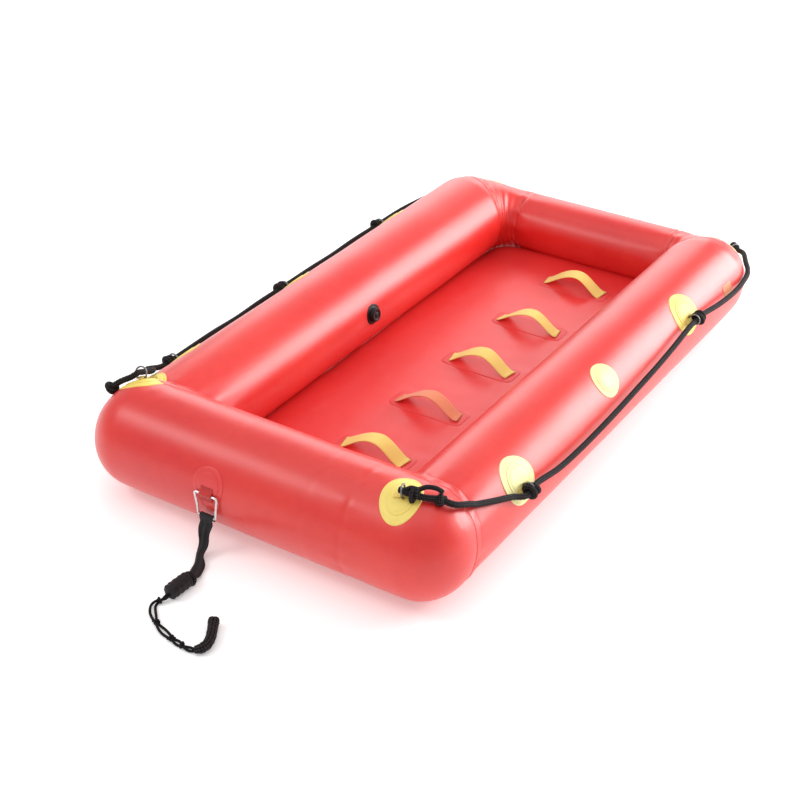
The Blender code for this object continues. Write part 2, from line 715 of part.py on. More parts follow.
marks = [(0.1191, -1.4039, 0.0104), (0.1311, -1.3982, 0.0125), (0.1385, -1.3876, 0.0140),
         (0.1396, -1.3747, 0.0140), (0.1345, -1.3560, 0.0140), (0.1235, -1.3370, 0.0140),
         (0.1100, -1.3190, 0.0140), (0.0975, -1.3030, 0.0145), (0.0915, -1.2945, 0.0155)]
line = smooth_line([Vector(m) for m in marks], 3)
radii = [0.0095 + 0.0040 * min(1.0, k / 3.0) for k in range(len(line))]
radii[-4:] = [0.0140, 0.0150, 0.0148, 0.0110]
round_run("tether_end", line, radii, black_rope, sides=10)
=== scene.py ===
"""Looks of the inflatable rescue raft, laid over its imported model.

Metres, +Z up. Bow at -Y, stern at +Y, port at +X, starboard at -X.
"""
import math

import bmesh
import bpy
from mathutils import Matrix, Vector, noise
from mathutils.bvhtree import BVHTree


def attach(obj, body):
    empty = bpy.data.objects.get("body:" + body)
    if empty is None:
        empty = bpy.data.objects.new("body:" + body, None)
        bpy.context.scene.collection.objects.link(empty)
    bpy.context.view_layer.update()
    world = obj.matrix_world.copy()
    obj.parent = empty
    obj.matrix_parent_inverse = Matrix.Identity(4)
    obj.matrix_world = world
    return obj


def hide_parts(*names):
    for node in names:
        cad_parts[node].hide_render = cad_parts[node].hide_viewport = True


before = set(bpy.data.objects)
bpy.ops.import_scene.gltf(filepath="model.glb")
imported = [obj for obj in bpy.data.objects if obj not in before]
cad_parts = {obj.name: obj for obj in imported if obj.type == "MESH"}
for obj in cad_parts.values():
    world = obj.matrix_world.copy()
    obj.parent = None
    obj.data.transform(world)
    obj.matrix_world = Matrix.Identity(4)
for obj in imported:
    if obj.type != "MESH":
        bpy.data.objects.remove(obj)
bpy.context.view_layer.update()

TURN = 2.0 * math.pi
UP, ASTERN, TO_PORT = Vector((0, 0, 1)), Vector((0, 1, 0)), Vector((1, 0, 0))
SIDES = (("port", 1.0), ("starboard", -1.0))

# Sizes of the hull, as in the solid model
MID_Y, HALF_LONG, HALF_WIDE = 0.0053, 1.053, 0.600
SIDE_R, BOW_R, STERN_R = 0.1445, 0.154, 0.104
BOW_REACH, BOW_END = 0.605, 0.140
BOW_STRAIGHT = BOW_REACH - BOW_END
BEND_R = 0.170
SEAM_ANGLE, RIGHT_ANGLE = math.radians(24.0), math.radians(90.0)
SIDE_X = HALF_WIDE - SIDE_R
BOW_Y = MID_Y - (HALF_LONG - BOW_R)
STERN_Y = MID_Y + HALF_LONG - STERN_R
BEND_Y = STERN_Y - BEND_R
BEND_X = SIDE_X - BEND_R
SEAM_Y = BEND_Y + BEND_R * SEAM_ANGLE
FLOOR_TOP, FLOOR_BOTTOM = 0.035, 0.003
STRAP_XS = (0.028, 0.032, 0.036, 0.038, 0.037)
STRAP_YS = (-0.493, -0.205, 0.087, 0.392, 0.702)
STRAP_WIDTH = 0.050
ROPE_R, ROPE_STEP = 0.0080, 0.0024
RING_WIRE, RING_R, RING_RISE = 0.0025, 0.0165, 0.0160
BOW_RING_X = -0.120
GROUND_GAP = 0.0002


# Camera, floor and studio light

def aimed(name, data, az, el, away, centre):
    """Link a camera or lamp that faces the centre; az is 32 at the camera and grows to the right."""
    az, el = math.radians(az), math.radians(el)
    back = Vector((math.sin(az) * math.cos(el), -math.cos(az) * math.cos(el), math.sin(el)))
    right = Vector((math.cos(az), math.sin(az), 0.0))
    turned = Matrix((right, back.cross(right), back)).transposed().to_4x4()
    turned.translation = back * away + Vector(centre)
    made = bpy.data.objects.new(name, data)
    made.matrix_world = turned
    bpy.context.scene.collection.objects.link(made)
    return made


def softbox(name, az, el, away, width, height, power):
    lamp = bpy.data.lights.new(name, "AREA")
    lamp.shape, lamp.size, lamp.size_y, lamp.energy = "RECTANGLE", width, height, power
    aimed(name, lamp, az, el, away, (0.0, 0.0, 0.15))


lens = bpy.data.cameras.new("studio_camera")
lens.sensor_width, lens.lens = 36.0, 70.97
lens.shift_x, lens.shift_y = -0.0718, -0.0195
bpy.context.scene.camera = aimed("studio_camera", lens, 32.05, 31.76, 4.9586, (0.0, MID_Y, 0.0))
softbox("softbox_back_right", 141.0, 17.0, 4.6, 3.4, 2.5, 250.0)
softbox("softbox_front_left", -44.0, 41.0, 4.6, 1.6, 1.0, 36.0)
softbox("softbox_behind", 212.0, 18.4, 3.8, 3.6, 1.9, 44.0)
softbox("softbox_over", 20.0, 82.0, 4.2, 4.6, 4.6, 58.0)

world = bpy.data.worlds.new("studio_air")
world.use_nodes = True
world.node_tree.nodes["Background"].inputs["Color"].default_value = (1.0, 1.0, 1.0, 1.0)
world.node_tree.nodes["Background"].inputs["Strength"].default_value = 0.60
bpy.context.scene.world = world
bpy.context.scene.view_settings.view_transform = "Standard"


# Finishes

class Wire:
    """One socket's value, so that sums can be written as sums."""

    def __init__(self, finish, socket):
        self.finish, self.socket = finish, socket

    def math(self, operation, *others):
        return self.finish.node("ShaderNodeMath", {"operation": operation}, dict(enumerate([self, *others])))

    def __add__(self, other):
        return self.math("ADD", other)

    def __sub__(self, other):
        return self.math("SUBTRACT", other)

    def __mul__(self, other):
        return self.math("MULTIPLY", other)

    def __truediv__(self, other):
        return self.math("DIVIDE", other)

    __radd__ = __add__

    def wave(self, length):
        """Sine wave of this length."""
        return (self * (TURN / length)).math("SINE")

    def size(self):
        return self.math("ABSOLUTE")

    def most(self, other):
        return self.math("MAXIMUM", other)

    def step(self, low, high):
        """0 below low, 1 above high, smooth between."""
        return self.finish.node("ShaderNodeMapRange", {"interpolation_type": "SMOOTHSTEP"},
                                {"Value": self, "From Min": low, "From Max": high})


class Finish:
    """One material and the nodes in it."""

    def __init__(self, name):
        self.made = bpy.data.materials.new(name)
        self.made.use_nodes = True
        self.tree = self.made.node_tree
        self.shader = self.tree.nodes["Principled BSDF"]

    def set(self, made, values):
        for place, value in values.items():
            socket = made.inputs[place]
            if isinstance(value, Wire):
                self.tree.links.new(value.socket, socket)
            elif socket.type == "RGBA":
                socket.default_value = (*value, 1.0)
            else:
                socket.default_value = value

    def node(self, kind, settings=None, values=None, out=0):
        made = self.tree.nodes.new(kind)
        for word, value in (settings or {}).items():
            setattr(made, word, value)
        self.set(made, values or {})
        return Wire(self, made.outputs[out])

    def spot(self, scale=(1.0, 1.0, 1.0)):
        """Place on the object, in metres."""
        return self.node("ShaderNodeMapping", None,
                         {"Vector": self.node("ShaderNodeTexCoord", out="Object"), "Scale": scale})

    def lay(self):
        """Metres round and metres along the piece, from its own map."""
        split = self.node("ShaderNodeSeparateXYZ", None, {0: self.node("ShaderNodeUVMap", {"uv_map": "lay"})})
        return [Wire(self, split.socket.node.outputs[k]) for k in range(2)]

    def noise(self, vector, scale, detail=3.0, rough=0.5):
        return self.node("ShaderNodeTexNoise", None, {
            "Vector": vector, "Scale": scale, "Detail": detail, "Roughness": rough})

    def mix(self, share, first, second):
        return self.node("ShaderNodeMix", {"data_type": "RGBA", "blend_type": "MIX"},
                         {0: share, 6: first, 7: second}, out=2)

    def done(self, values, height, depth):
        """Set the shader, with the height as a bump this deep in metres."""
        values["Normal"] = self.node("ShaderNodeBump", None, {
            "Strength": 1.0, "Distance": depth, "Height": height})
        self.set(self.shader, values)
        return self.made


def coated_fabric(name, light, deep, rough=0.36, coat=0.36):
    """Soft gloss coating over woven cloth, uneven in colour, with faint scuffs."""
    f = Finish(name)
    spot = f.spot()
    around, along = f.lay()
    cloud = f.noise(spot, 2.3, 2.0)
    mottle = f.noise(spot, 30.0, 5.0, 0.6)
    scuff = f.noise(f.spot((1.0, 0.35, 1.0)), 210.0, 5.0, 0.7).step(0.60, 0.74)
    scuff = scuff * f.noise(spot, 7.0).step(0.48, 0.66)
    colour = f.mix((cloud - 0.5) * 1.6 + (mottle - 0.5) * 0.7 + 0.5, deep, light)
    colour = f.mix(scuff * 0.22, colour, (0.92, 0.42, 0.36))
    thread = around.wave(0.0016) * along.wave(0.0016)
    gloss = rough + (mottle - 0.5) * 0.10 + scuff * 0.16 + (cloud - 0.5) * 0.05
    return f.done({"Base Color": colour, "Roughness": gloss, "Coat Weight": coat, "Coat Roughness": 0.30,
                   "Specular IOR Level": 0.5}, thread * 0.35 + mottle * 1.2 + scuff * 0.5, 0.0001)


def webbing(name, light, deep, rough=0.72, edge=0.050, sheen=0.25):
    """Woven webbing: chevron ribs, a firmer border, thread noise and patches of soil."""
    rib = 0.0026
    f = Finish(name)
    around, along = f.lay()
    across = (around / edge - 0.5).size()
    rib_wave = (along + (around / rib * 0.5).math("PINGPONG", 1.0) * rib * 1.4).wave(rib)
    fibre = f.noise(f.spot(), 900.0, 3.0, 0.7)
    soil = f.noise(f.spot(), 16.0, 4.0, 0.6)
    border = across.step(0.38, 0.43)
    worn = f.noise(f.spot(), 60.0, 4.0, 0.65).step(0.5, 0.75)
    colour = f.mix(rib_wave * 0.28 + 0.5 + (fibre - 0.5) * 0.5, deep, light)
    colour = f.mix(soil.step(0.45, 0.8) * 0.22, colour, deep)
    colour = f.mix(border * 0.30, colour, deep)
    colour = f.mix(worn * 0.18, colour, light)
    return f.done({"Base Color": colour, "Roughness": rough + (fibre - 0.5) * 0.2, "Sheen Weight": sheen,
                   "Sheen Roughness": 0.5, "Specular IOR Level": 0.35},
                  rib_wave * 0.5 + fibre * 0.5 + border * 0.6, 0.00035)


def braided(name, light, deep, strand, fibre_size=0.0011):
    """Braided cord: crossing strands of fine thread with a dry sheen and pale lint; the strand crowns carry a
    painted highlight and the grooves between them painted shade.
    """
    f = Finish(name)
    around, along = f.lay()
    crossing = (along + around * 0.75).wave(strand) * (along - around * 0.75).wave(strand)
    thread = (along * 0.8 + around).wave(fibre_size).most((along * 0.8 - around).wave(fibre_size))
    lint = f.noise(f.spot(), 420.0, 5.0, 0.75)
    wear = f.noise(f.spot(), 45.0, 3.0, 0.6)
    # painted highlight on the strand crowns and painted shade in the grooves, following the crossing pattern
    # of the relief
    colour = f.mix(crossing.step(-0.15, 0.75) * (thread * 0.12 + 0.88), deep, light)
    colour = f.mix(lint.step(0.64, 0.78) * wear.step(0.42, 0.66) * 0.45, colour, (0.150, 0.118, 0.118))
    return f.done({"Base Color": colour, "Roughness": 0.66 + (lint - 0.5) * 0.30, "Sheen Weight": 0.02,
                   "Sheen Roughness": 0.45, "Specular IOR Level": 0.20},
                  crossing * 0.8 + thread * 0.3 + lint * 0.4, 0.0006)


def drawn_wire(name, bright, dulled, rough=0.22):
    """Bent steel wire, drawn lines along it, a little dulled."""
    f = Finish(name)
    around = f.lay()[0]
    lines = f.noise(f.spot((0.35, 1.0, 1.0)), 1400.0, 2.0)
    dull = f.noise(f.spot(), 120.0, 4.0, 0.6)
    colour = f.mix(dull.step(0.35, 0.75), bright, dulled)
    gloss = rough + dull * 0.20 + (lines - 0.5) * 0.08
    return f.done({"Base Color": colour, "Metallic": 1.0, "Roughness": gloss},
                  lines * 0.6 + around.wave(0.0012) * 0.1 + dull * 0.4, 0.00006)


def moulding(name, light, deep, rough=0.42):
    """Moulded plastic: fine pebble and flow marks."""
    f = Finish(name)
    pebble = f.noise(f.spot(), 1600.0, 2.0)
    flow = f.noise(f.spot((1.0, 2.2, 1.0)), 55.0, 3.0, 0.6)
    gloss = rough + (flow - 0.5) * 0.22 + (pebble - 0.5) * 0.08
    return f.done({"Base Color": f.mix(flow, deep, light), "Roughness": gloss, "Specular IOR Level": 0.25},
                  pebble * 0.6 + flow * 0.5, 0.00012)


def sewing_thread(name, light, deep):
    """Twisted sewing thread."""
    f = Finish(name)
    fibre = f.noise(f.spot(), 1500.0, 3.0, 0.7)
    return f.done({"Base Color": f.mix(fibre, deep, light), "Roughness": 0.55 + (fibre - 0.5) * 0.3,
                   "Sheen Weight": 0.2}, fibre, 0.0002)


def pale_ground(name):
    f = Finish(name)
    cloud = f.noise(f.spot(), 1.7, 3.0)
    return f.done({"Base Color": f.mix(cloud, (0.93, 0.93, 0.93), (0.955, 0.955, 0.955)),
                   "Roughness": 0.62 + cloud * 0.1, "Emission Color": (1.0, 1.0, 1.0),
                   "Emission Strength": 0.26}, f.noise(f.spot(), 300.0), 0.0001)


tube_red = coated_fabric("tube_skin_coated", (0.790, 0.036, 0.024), (0.660, 0.014, 0.016))
floor_red = coated_fabric("floor_skin_coated", (0.820, 0.041, 0.038), (0.740, 0.027, 0.028), 0.40, 0.40)
patch_red = coated_fabric("patch_skin_coated", (0.800, 0.055, 0.050), (0.700, 0.030, 0.032), 0.44, 0.25)
tape_red = coated_fabric("seam_tape_coated", (0.760, 0.040, 0.030), (0.640, 0.020, 0.020), 0.38, 0.40)
pad_yellow = coated_fabric("yellow_pad_coated", (0.930, 0.760, 0.200), (0.840, 0.560, 0.080), 0.46, 0.10)
pad_pale = coated_fabric("pale_pad_coated", (0.930, 0.860, 0.420), (0.880, 0.760, 0.250), 0.46, 0.10)
label_orange = coated_fabric("orange_patch_coated", (0.640, 0.230, 0.085), (0.520, 0.140, 0.050), 0.48, 0.05)
web_yellow = webbing("yellow_webbing", (0.970, 0.780, 0.250), (0.860, 0.560, 0.090))
web_faded = webbing("faded_webbing", (0.900, 0.330, 0.160), (0.760, 0.180, 0.080))
web_red = webbing("red_webbing", (0.720, 0.050, 0.040), (0.480, 0.016, 0.018), edge=0.040)
web_black = webbing("black_webbing", (0.018, 0.015, 0.017), (0.005, 0.004, 0.005), 0.66, 0.040, 0.03)
rope_black = braided("black_braid", (0.056, 0.043, 0.044), (0.003, 0.002, 0.003), 0.0100)
line_black = braided("black_thin_braid", (0.026, 0.021, 0.023), (0.005, 0.004, 0.005), 0.0030, 0.0006)
steel = drawn_wire("steel_wire_drawn", (0.80, 0.78, 0.77), (0.60, 0.58, 0.58))
steel_dull = drawn_wire("steel_wire_dulled", (0.30, 0.285, 0.28), (0.15, 0.145, 0.145), 0.34)
black_moulding = moulding("black_moulding", (0.016, 0.014, 0.016), (0.007, 0.006, 0.007))
flange_rubber = moulding("flange_rubber_black", (0.020, 0.016, 0.018), (0.008, 0.007, 0.008), 0.38)
thread_yellow = sewing_thread("yellow_thread", (0.900, 0.600, 0.130), (0.700, 0.360, 0.040))
thread_red = sewing_thread("red_thread", (0.500, 0.030, 0.030), (0.300, 0.012, 0.014))

ground_shape = bmesh.new()
bmesh.ops.create_grid(ground_shape, x_segments=4, y_segments=4, size=22.0)
ground_mesh = bpy.data.meshes.new("studio_floor")
ground_shape.to_mesh(ground_mesh)
ground_shape.free()
ground_mesh.materials.append(pale_ground("pale_ground"))
ground = bpy.data.objects.new("studio_floor", ground_mesh)
bpy.context.scene.collection.objects.link(ground)


# Ways of making a piece

def mm(*rows):
    """Rows of millimetres as rows of metres."""
    return [tuple(value / 1000.0 for value in row) for row in rows]


def marked(*rows):
    """Marks given in millimetres, as points."""
    return [Vector(row) for row in mm(*rows)]


def keep(name, shape, surface, nodes=()):
    """Finish a bmesh as a piece that rides on the raft and stands for its CAD nodes."""
    for vert in shape.verts:
        vert.co.z = max(vert.co.z, GROUND_GAP)
    bmesh.ops.recalc_face_normals(shape, faces=shape.faces)
    for face in shape.faces:
        face.smooth = True
    mesh = bpy.data.meshes.new(name)
    shape.to_mesh(mesh)
    shape.free()
    mesh.materials.append(surface)
    made = bpy.data.objects.new(name, mesh)
    bpy.context.scene.collection.objects.link(made)
    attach(made, "root")
    if nodes:
        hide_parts(*nodes)
    return made


def rim_edges(shape):
    return [edge for edge in shape.edges if len(edge.link_faces) == 1]


def wrapped(across, along, place, girth, length):
    """A grid drawn over place(u, v) and welded where it meets itself; its map is in metres."""
    sheet = bmesh.new()
    lay = sheet.loops.layers.uv.new("lay")
    bmesh.ops.create_grid(sheet, x_segments=across, y_segments=along, size=0.5)
    for face in sheet.faces:
        for loop in face.loops:
            loop[lay].uv = ((loop.vert.co.x + 0.5) * girth, (loop.vert.co.y + 0.5) * length)
    for vert in sheet.verts:
        vert.co = place(vert.co.x + 0.5, vert.co.y + 0.5)
    bmesh.ops.remove_doubles(sheet, verts=sheet.verts, dist=0.00002)
    open_edges = rim_edges(sheet)
    if open_edges:
        bmesh.ops.holes_fill(sheet, edges=open_edges, sides=0)
    return sheet


def joined(shapes):
    """Several shapes as one."""
    whole = bmesh.new()
    whole.loops.layers.uv.new("lay")
    carrier = bpy.data.meshes.new("carrier")
    for shape in shapes:
        shape.to_mesh(carrier)
        whole.from_mesh(carrier)
        shape.free()
    bpy.data.meshes.remove(carrier)
    return whole


def frames_along(line, first_side):
    """Side and lift directions carried along a line without twist."""
    frames, side = [], first_side.copy()
    last = len(line) - 1
    for k in range(len(line)):
        ahead = (line[min(k + 1, last)] - line[max(k - 1, 0)]).normalized()
        side = (side - ahead * side.dot(ahead)).normalized()
        frames.append((side, ahead.cross(side)))
    return frames


def smooth_line(marks, per_span):
    """Catmull-Rom line through the marks."""
    out, count = [], len(marks)
    for k in range(count - 1):
        a, b, c, d = marks[max(k - 1, 0)], marks[k], marks[k + 1], marks[min(k + 2, count - 1)]
        for s in range(per_span):
            t = s / per_span
            out.append(0.5 * ((2 * b) + (c - a) * t + (2 * a - 5 * b + 4 * c - d) * t * t
                              + (3 * b - a - 3 * c + d) * t * t * t))
    out.append(marks[-1].copy())
    return out


def even_line(line, step):
    """The same line with its points a step apart."""
    out, left = [line[0].copy()], step
    for a, b in zip(line, line[1:]):
        span = (b - a).length
        while span > 0.0 and left <= span:
            out.append(a.lerp(b, left / span))
            left += step
        left -= span
    if (out[-1] - line[-1]).length < step * 0.5:
        out.pop()
    out.append(line[-1].copy())
    return out


def line_length(line):
    return sum((b - a).length for a, b in zip(line, line[1:]))


def run_round(line, radius, sides, relief=None):
    """A round run of cord or wire along a line; relief(metres along, angle) adds to its radius."""
    frames = frames_along(line, (line[1] - line[0]).normalized().orthogonal())
    spans = [0.0]
    for a, b in zip(line, line[1:]):
        spans.append(spans[-1] + (b - a).length)
    last = len(line) - 1

    def place(u, v):
        k = round(v * last)
        side, lift = frames[k]
        angle = TURN * u
        size = radius(spans[k]) if callable(radius) else radius
        if relief:
            size += relief(spans[k], angle)
        if k in (0, last):
            size *= 0.55
        return line[k] + size * (math.cos(angle) * side + math.sin(angle) * lift)

    girth = TURN * (radius(0.0) if callable(radius) else radius)
    return wrapped(sides, last, place, girth, spans[-1])


def run_flat(line, outline, first_side, map_width):
    """A band along a line; outline(v) gives its corners as side and lift pairs."""
    frames = frames_along(line, first_side)
    last = len(line) - 1
    count = len(outline(0.0))

    def place(u, v):
        k = round(v * last)
        side, lift = frames[k]
        a, b = outline(v)[round(u * count) % count]
        return line[k] + a * side + b * lift

    return wrapped(count, last, place, map_width, line_length(line))


def band_outline(width, thick, crown=0.0, steps=8):
    """Corners of a flat band with rounded edges, as side and lift pairs, going round once."""
    top = [(-width * 0.5 + width * k / steps, thick * 0.5 + crown * (1.0 - (2.0 * k / steps - 1.0) ** 2))
           for k in range(steps + 1)]
    top[0], top[-1] = (-width * 0.5, thick * 0.22), (width * 0.5, thick * 0.22)
    top.insert(1, (-width * 0.5 + thick * 0.3, thick * 0.5))
    top.insert(-1, (width * 0.5 - thick * 0.3, thick * 0.5))
    low = [(a, b - thick if abs(a) < width * 0.499 else -thick * 0.22) for a, b in reversed(top)]
    return top + low


def basis(origin, run, normal):
    """Place with local X along the run and local Z along the normal."""
    z = normal.normalized()
    x = (run - z * run.dot(z)).normalized()
    made = Matrix((x, z.cross(x), z)).transposed().to_4x4()
    made.translation = origin
    return made


def ease(share):
    share = min(1.0, max(0.0, share))
    return share * share * (3.0 - 2.0 * share)


def bell(distance, width):
    return math.exp(-(distance / width) ** 2)


def unrest(x, y, z, scale=6.0):
    """Slow unevenness of soft stretched fabric, from -1 to 1."""
    return noise.noise(Vector((x * scale, y * scale, z * scale)))


def gathers(distance, height, fade, wave, start, pinch, width):
    """Puckers that fade away from a seam, and the pinch at the seam itself."""
    return height * math.exp(-distance / fade) * wave * ease(distance / start) - pinch * bell(distance, width)


# Where the tubes run

def bow_profile(x):
    over = abs(x) - BOW_STRAIGHT
    if over <= 0.0:
        return BOW_R
    return BOW_R * math.sqrt(max(0.0, 1.0 - min(1.0, over / BOW_END) ** 2))


def bow_normal(spot):
    """Direction out of the bow tube at a place on it."""
    normal = Vector((0.0, spot.y - BOW_Y, spot.z - BOW_R)) / (BOW_R * BOW_R)
    if abs(spot.x) > BOW_STRAIGHT:
        normal.x = math.copysign((abs(spot.x) - BOW_STRAIGHT) / (BOW_END * BOW_END), spot.x)
    return normal.normalized()


def bend_frame(angle, side):
    """Centre, level outward direction and radius of the stern bend at an angle."""
    centre = Vector((BEND_X + BEND_R * math.cos(angle), BEND_Y + BEND_R * math.sin(angle), 0.0))
    outward = Vector((math.cos(angle), math.sin(angle), 0.0))
    radius = SIDE_R + (STERN_R - SIDE_R) * ease(angle / math.radians(84.0))
    centre.z = radius
    centre.x *= side
    outward.x *= side
    return centre, outward, radius


def side_frame(side, y):
    """Centre, level outward direction and radius of a side tube at y, on into its stern bend."""
    if y > BEND_Y:
        return bend_frame((y - BEND_Y) / BEND_R, side)
    return Vector((side * SIDE_X, y, SIDE_R)), Vector((side, 0.0, 0.0)), SIDE_R


def skin_point(centre, outward, size, angle):
    return centre + size * (math.cos(angle) * outward + math.sin(angle) * UP)


def side_place(side, y, degrees):
    """Point and outward normal on a side tube, at degrees up from outboard."""
    angle, step = math.radians(degrees), 0.002

    def at(y, angle):
        return skin_point(*side_frame(side, y), angle)

    along = at(y + step, angle) - at(y - step, angle)
    around = at(y, angle + step) - at(y, angle - step)
    return at(y, angle), side * along.cross(around).normalized()


def bow_place(x, degrees):
    """Point and outward normal on the bow tube, at degrees up from astern."""
    angle = math.radians(degrees)
    turn = Vector((0.0, math.cos(angle), math.sin(angle)))
    spot = Vector((x, BOW_Y, BOW_R)) + turn * bow_profile(x)
    return spot, bow_normal(spot)


def bow_seam_y(angle):
    """Where a side tube meets the back of the bow tube, at an angle up from outboard."""
    x, z = SIDE_X + SIDE_R * math.cos(angle), SIDE_R + SIDE_R * math.sin(angle)
    return BOW_Y + math.sqrt(max(0.0, bow_profile(x) ** 2 - (z - BOW_R) ** 2))


BOW_ARC = 1.211 * BOW_END * 1.36
HALF_BOW = BOW_STRAIGHT + BOW_ARC
BOW_SEAM_X, BOW_LAP_X = 0.300, 0.186


def bow_x(along):
    """Bow tube's x at metres along its skin from the middle."""
    past = abs(along) - BOW_STRAIGHT
    if past <= 0.0:
        return along
    return math.copysign(BOW_STRAIGHT + BOW_END * math.sin(min(1.0, past / BOW_ARC) * math.pi / 2), along)


def bow_relief(x, angle):
    """Seams, lap and puckers of the bow tube."""
    from_seam = abs(x - BOW_SEAM_X)
    out = 0.0012 * unrest(x, math.cos(angle) * 0.15, math.sin(angle) * 0.15)
    out += 0.0009 * ease((x - BOW_LAP_X) / 0.004) * ease((BOW_SEAM_X - x) / 0.004)
    out += gathers(from_seam, 0.0011, 0.030, math.sin(17 * angle + 1.0), 0.006, 0.0016, 0.007)
    radius = bow_profile(x)
    y, z = radius * math.cos(angle), BOW_R + radius * math.sin(angle)
    if y > 0.0:
        level, rise = abs(x) - SIDE_X, z - SIDE_R
        away = abs(math.hypot(level, rise) - SIDE_R)
        spread = math.atan2(rise, level)
        wave = math.sin(15 * spread + 2.0 * unrest(spread, x, 0.0, 2.0))
        out += 0.0016 * math.exp(-away / 0.028) * wave - 0.0020 * bell(away, 0.010)
    return out


def side_relief(side, y, angle):
    """Puckers of a side tube at its two ends and faint waves between them."""
    out = 0.0013 * unrest(side * math.cos(angle) * 0.15, y, math.sin(angle) * 0.15 + side)
    ahead = y - bow_seam_y(angle)
    if ahead > 0.0:
        out += gathers(ahead, 0.0017, 0.045, math.sin(16 * angle + side), 0.010, 0.0022, 0.009)
    return out + gathers(SEAM_Y - y, 0.0015, 0.040, math.sin(14 * angle), 0.008, 0.0016, 0.008)


def corner_relief(side, angle, around):
    """Folds of the stern bend: tight puckers inside, faint ones outside, pinched at both seams."""
    inside = ease(0.5 - 0.75 * math.cos(around))
    first, last = (angle - SEAM_ANGLE) * BEND_R, (RIGHT_ANGLE - angle) * BEND_R
    out = 0.0012 * unrest(side + math.cos(around) * 0.2, angle, math.sin(around) * 0.2)
    out += gathers(first, 0.0018, 0.03, math.sin(13 * around), 0.006, 0.0018, 0.008)
    out += gathers(last, 0.0014 + 0.0022 * inside, 0.05, math.sin(11 * around + 0.8), 0.008, 0.0028, 0.009)
    return out - 0.0030 * inside * (0.5 + 0.5 * math.sin(angle * 30.0))


def stern_relief(x, angle):
    """Faint waves of the stern tube and the puckers at its two ends."""
    out = 0.0009 * unrest(x, math.cos(angle) * 0.1, math.sin(angle) * 0.1 + 3.0)
    return out + gathers(BEND_X - abs(x), 0.0017, 0.035, math.sin(11 * angle + x), 0.008, 0.0026, 0.009)


def bow_skin(x, angle, lift=0.0):
    relief = bow_relief(x, angle) if abs(x) < BOW_REACH - 0.004 else 0.0
    return skin_point(Vector((x, BOW_Y, BOW_R)), ASTERN, bow_profile(x) + relief + lift, angle)


def side_skin(side, y, angle, lift=0.0):
    centre, out, radius = side_frame(side, y)
    return skin_point(centre, out, radius + side_relief(side, y, angle) + lift, angle)


def corner_skin(side, turn, angle, lift=0.0):
    centre, out, radius = bend_frame(turn, side)
    return skin_point(centre, out, radius + corner_relief(side, turn, angle) + lift, angle)


def stern_skin(x, angle, lift=0.0):
    return skin_point(Vector((x, STERN_Y, STERN_R)), ASTERN, STERN_R + stern_relief(x, angle) + lift, angle)


# Tubes

def tube(name, node, steps, skin, radius, length):
    """One tube's skin from skin(share of its length, angle)."""
    return keep(name, wrapped(128, steps, lambda u, v: skin(v, TURN * u), TURN * radius, length),
                tube_red, [node])


hull = [tube("bow_tube_skin", "tube_bow", 184, lambda v, a: bow_skin(bow_x((2.0 * v - 1.0) * HALF_BOW), a),
             BOW_R, 2.0 * HALF_BOW)]
front = BOW_Y + 0.030
for word, side in SIDES:
    hull.append(tube("side_tube_skin_" + word, "tube_" + word, 240,
                     lambda v, a: side_skin(side, front + (SEAM_Y - front) * v, a), SIDE_R, SEAM_Y - front))
    hull.append(tube("stern_corner_skin_" + word, "corner_" + word, 44,
                     lambda v, a: corner_skin(side, SEAM_ANGLE + (RIGHT_ANGLE - SEAM_ANGLE) * v, a),
                     0.125, 0.20))
hull.append(tube("stern_tube_skin", "tube_stern", 96, lambda v, a: stern_skin((2.0 * v - 1.0) * BEND_X, a),
                 STERN_R, 2.0 * BEND_X))


def tree_of(pieces):
    """Search tree over the faces of these pieces."""
    points, faces = [], []
    for piece in pieces:
        first = len(points)
        points += [v.co.copy() for v in piece.data.vertices]
        faces += [[first + i for i in p.vertices] for p in piece.data.polygons]
    return BVHTree.FromPolygons(points, faces)


hull_tree, bow_tree = tree_of(hull), tree_of(hull[:1])
TAPE, TUCK = 0.0013, -0.0015


def seam_band(name, skin, start, end):
    """A glued tape round a tube, from start to end along it."""
    inner = end - start - 0.0020
    steps = [(start, TUCK), (start, 0.0006), (start + 0.0010, TAPE)]
    steps += [(start + 0.0010 + inner * k / 4, TAPE) for k in range(1, 4)]
    steps += [(end - 0.0010, TAPE), (end, 0.0006), (end, TUCK), (start, TUCK)]

    def place(u, v):
        spot, lift = steps[round(v * (len(steps) - 1))]
        return skin(spot, TURN * u, lift)

    keep(name, wrapped(160, len(steps) - 1, place, 0.9, end - start + 0.004), tape_red)


for word, side in SIDES:
    seam_band("seam_tape_forward_" + word,
              lambda s, a, lift: side_skin(side, SEAM_Y + s, a, lift) if s <= 0.0
              else corner_skin(side, SEAM_ANGLE + s / BEND_R, a, lift), -0.012, 0.012)
    seam_band("seam_tape_aft_" + word,
              lambda s, a, lift: corner_skin(side, RIGHT_ANGLE + s / BEND_R, a, lift) if s <= 0.0
              else stern_skin(side * (BEND_X - s), a, lift), -0.010, 0.012)


def on_bow(spot, lift):
    """The nearest place on the bow tube, lifted off it."""
    near, normal, _, _ = bow_tree.find_nearest(spot)
    if normal.dot(near - Vector((near.x * 0.8, BOW_Y, BOW_R))) < 0.0:
        normal = -normal
    return near + normal * lift


def bow_seam(side, angle):
    """A place on the joint between a side tube and the bow tube."""
    return Vector((side * (SIDE_X + SIDE_R * math.cos(angle)), bow_seam_y(angle),
                   SIDE_R + SIDE_R * math.sin(angle)))


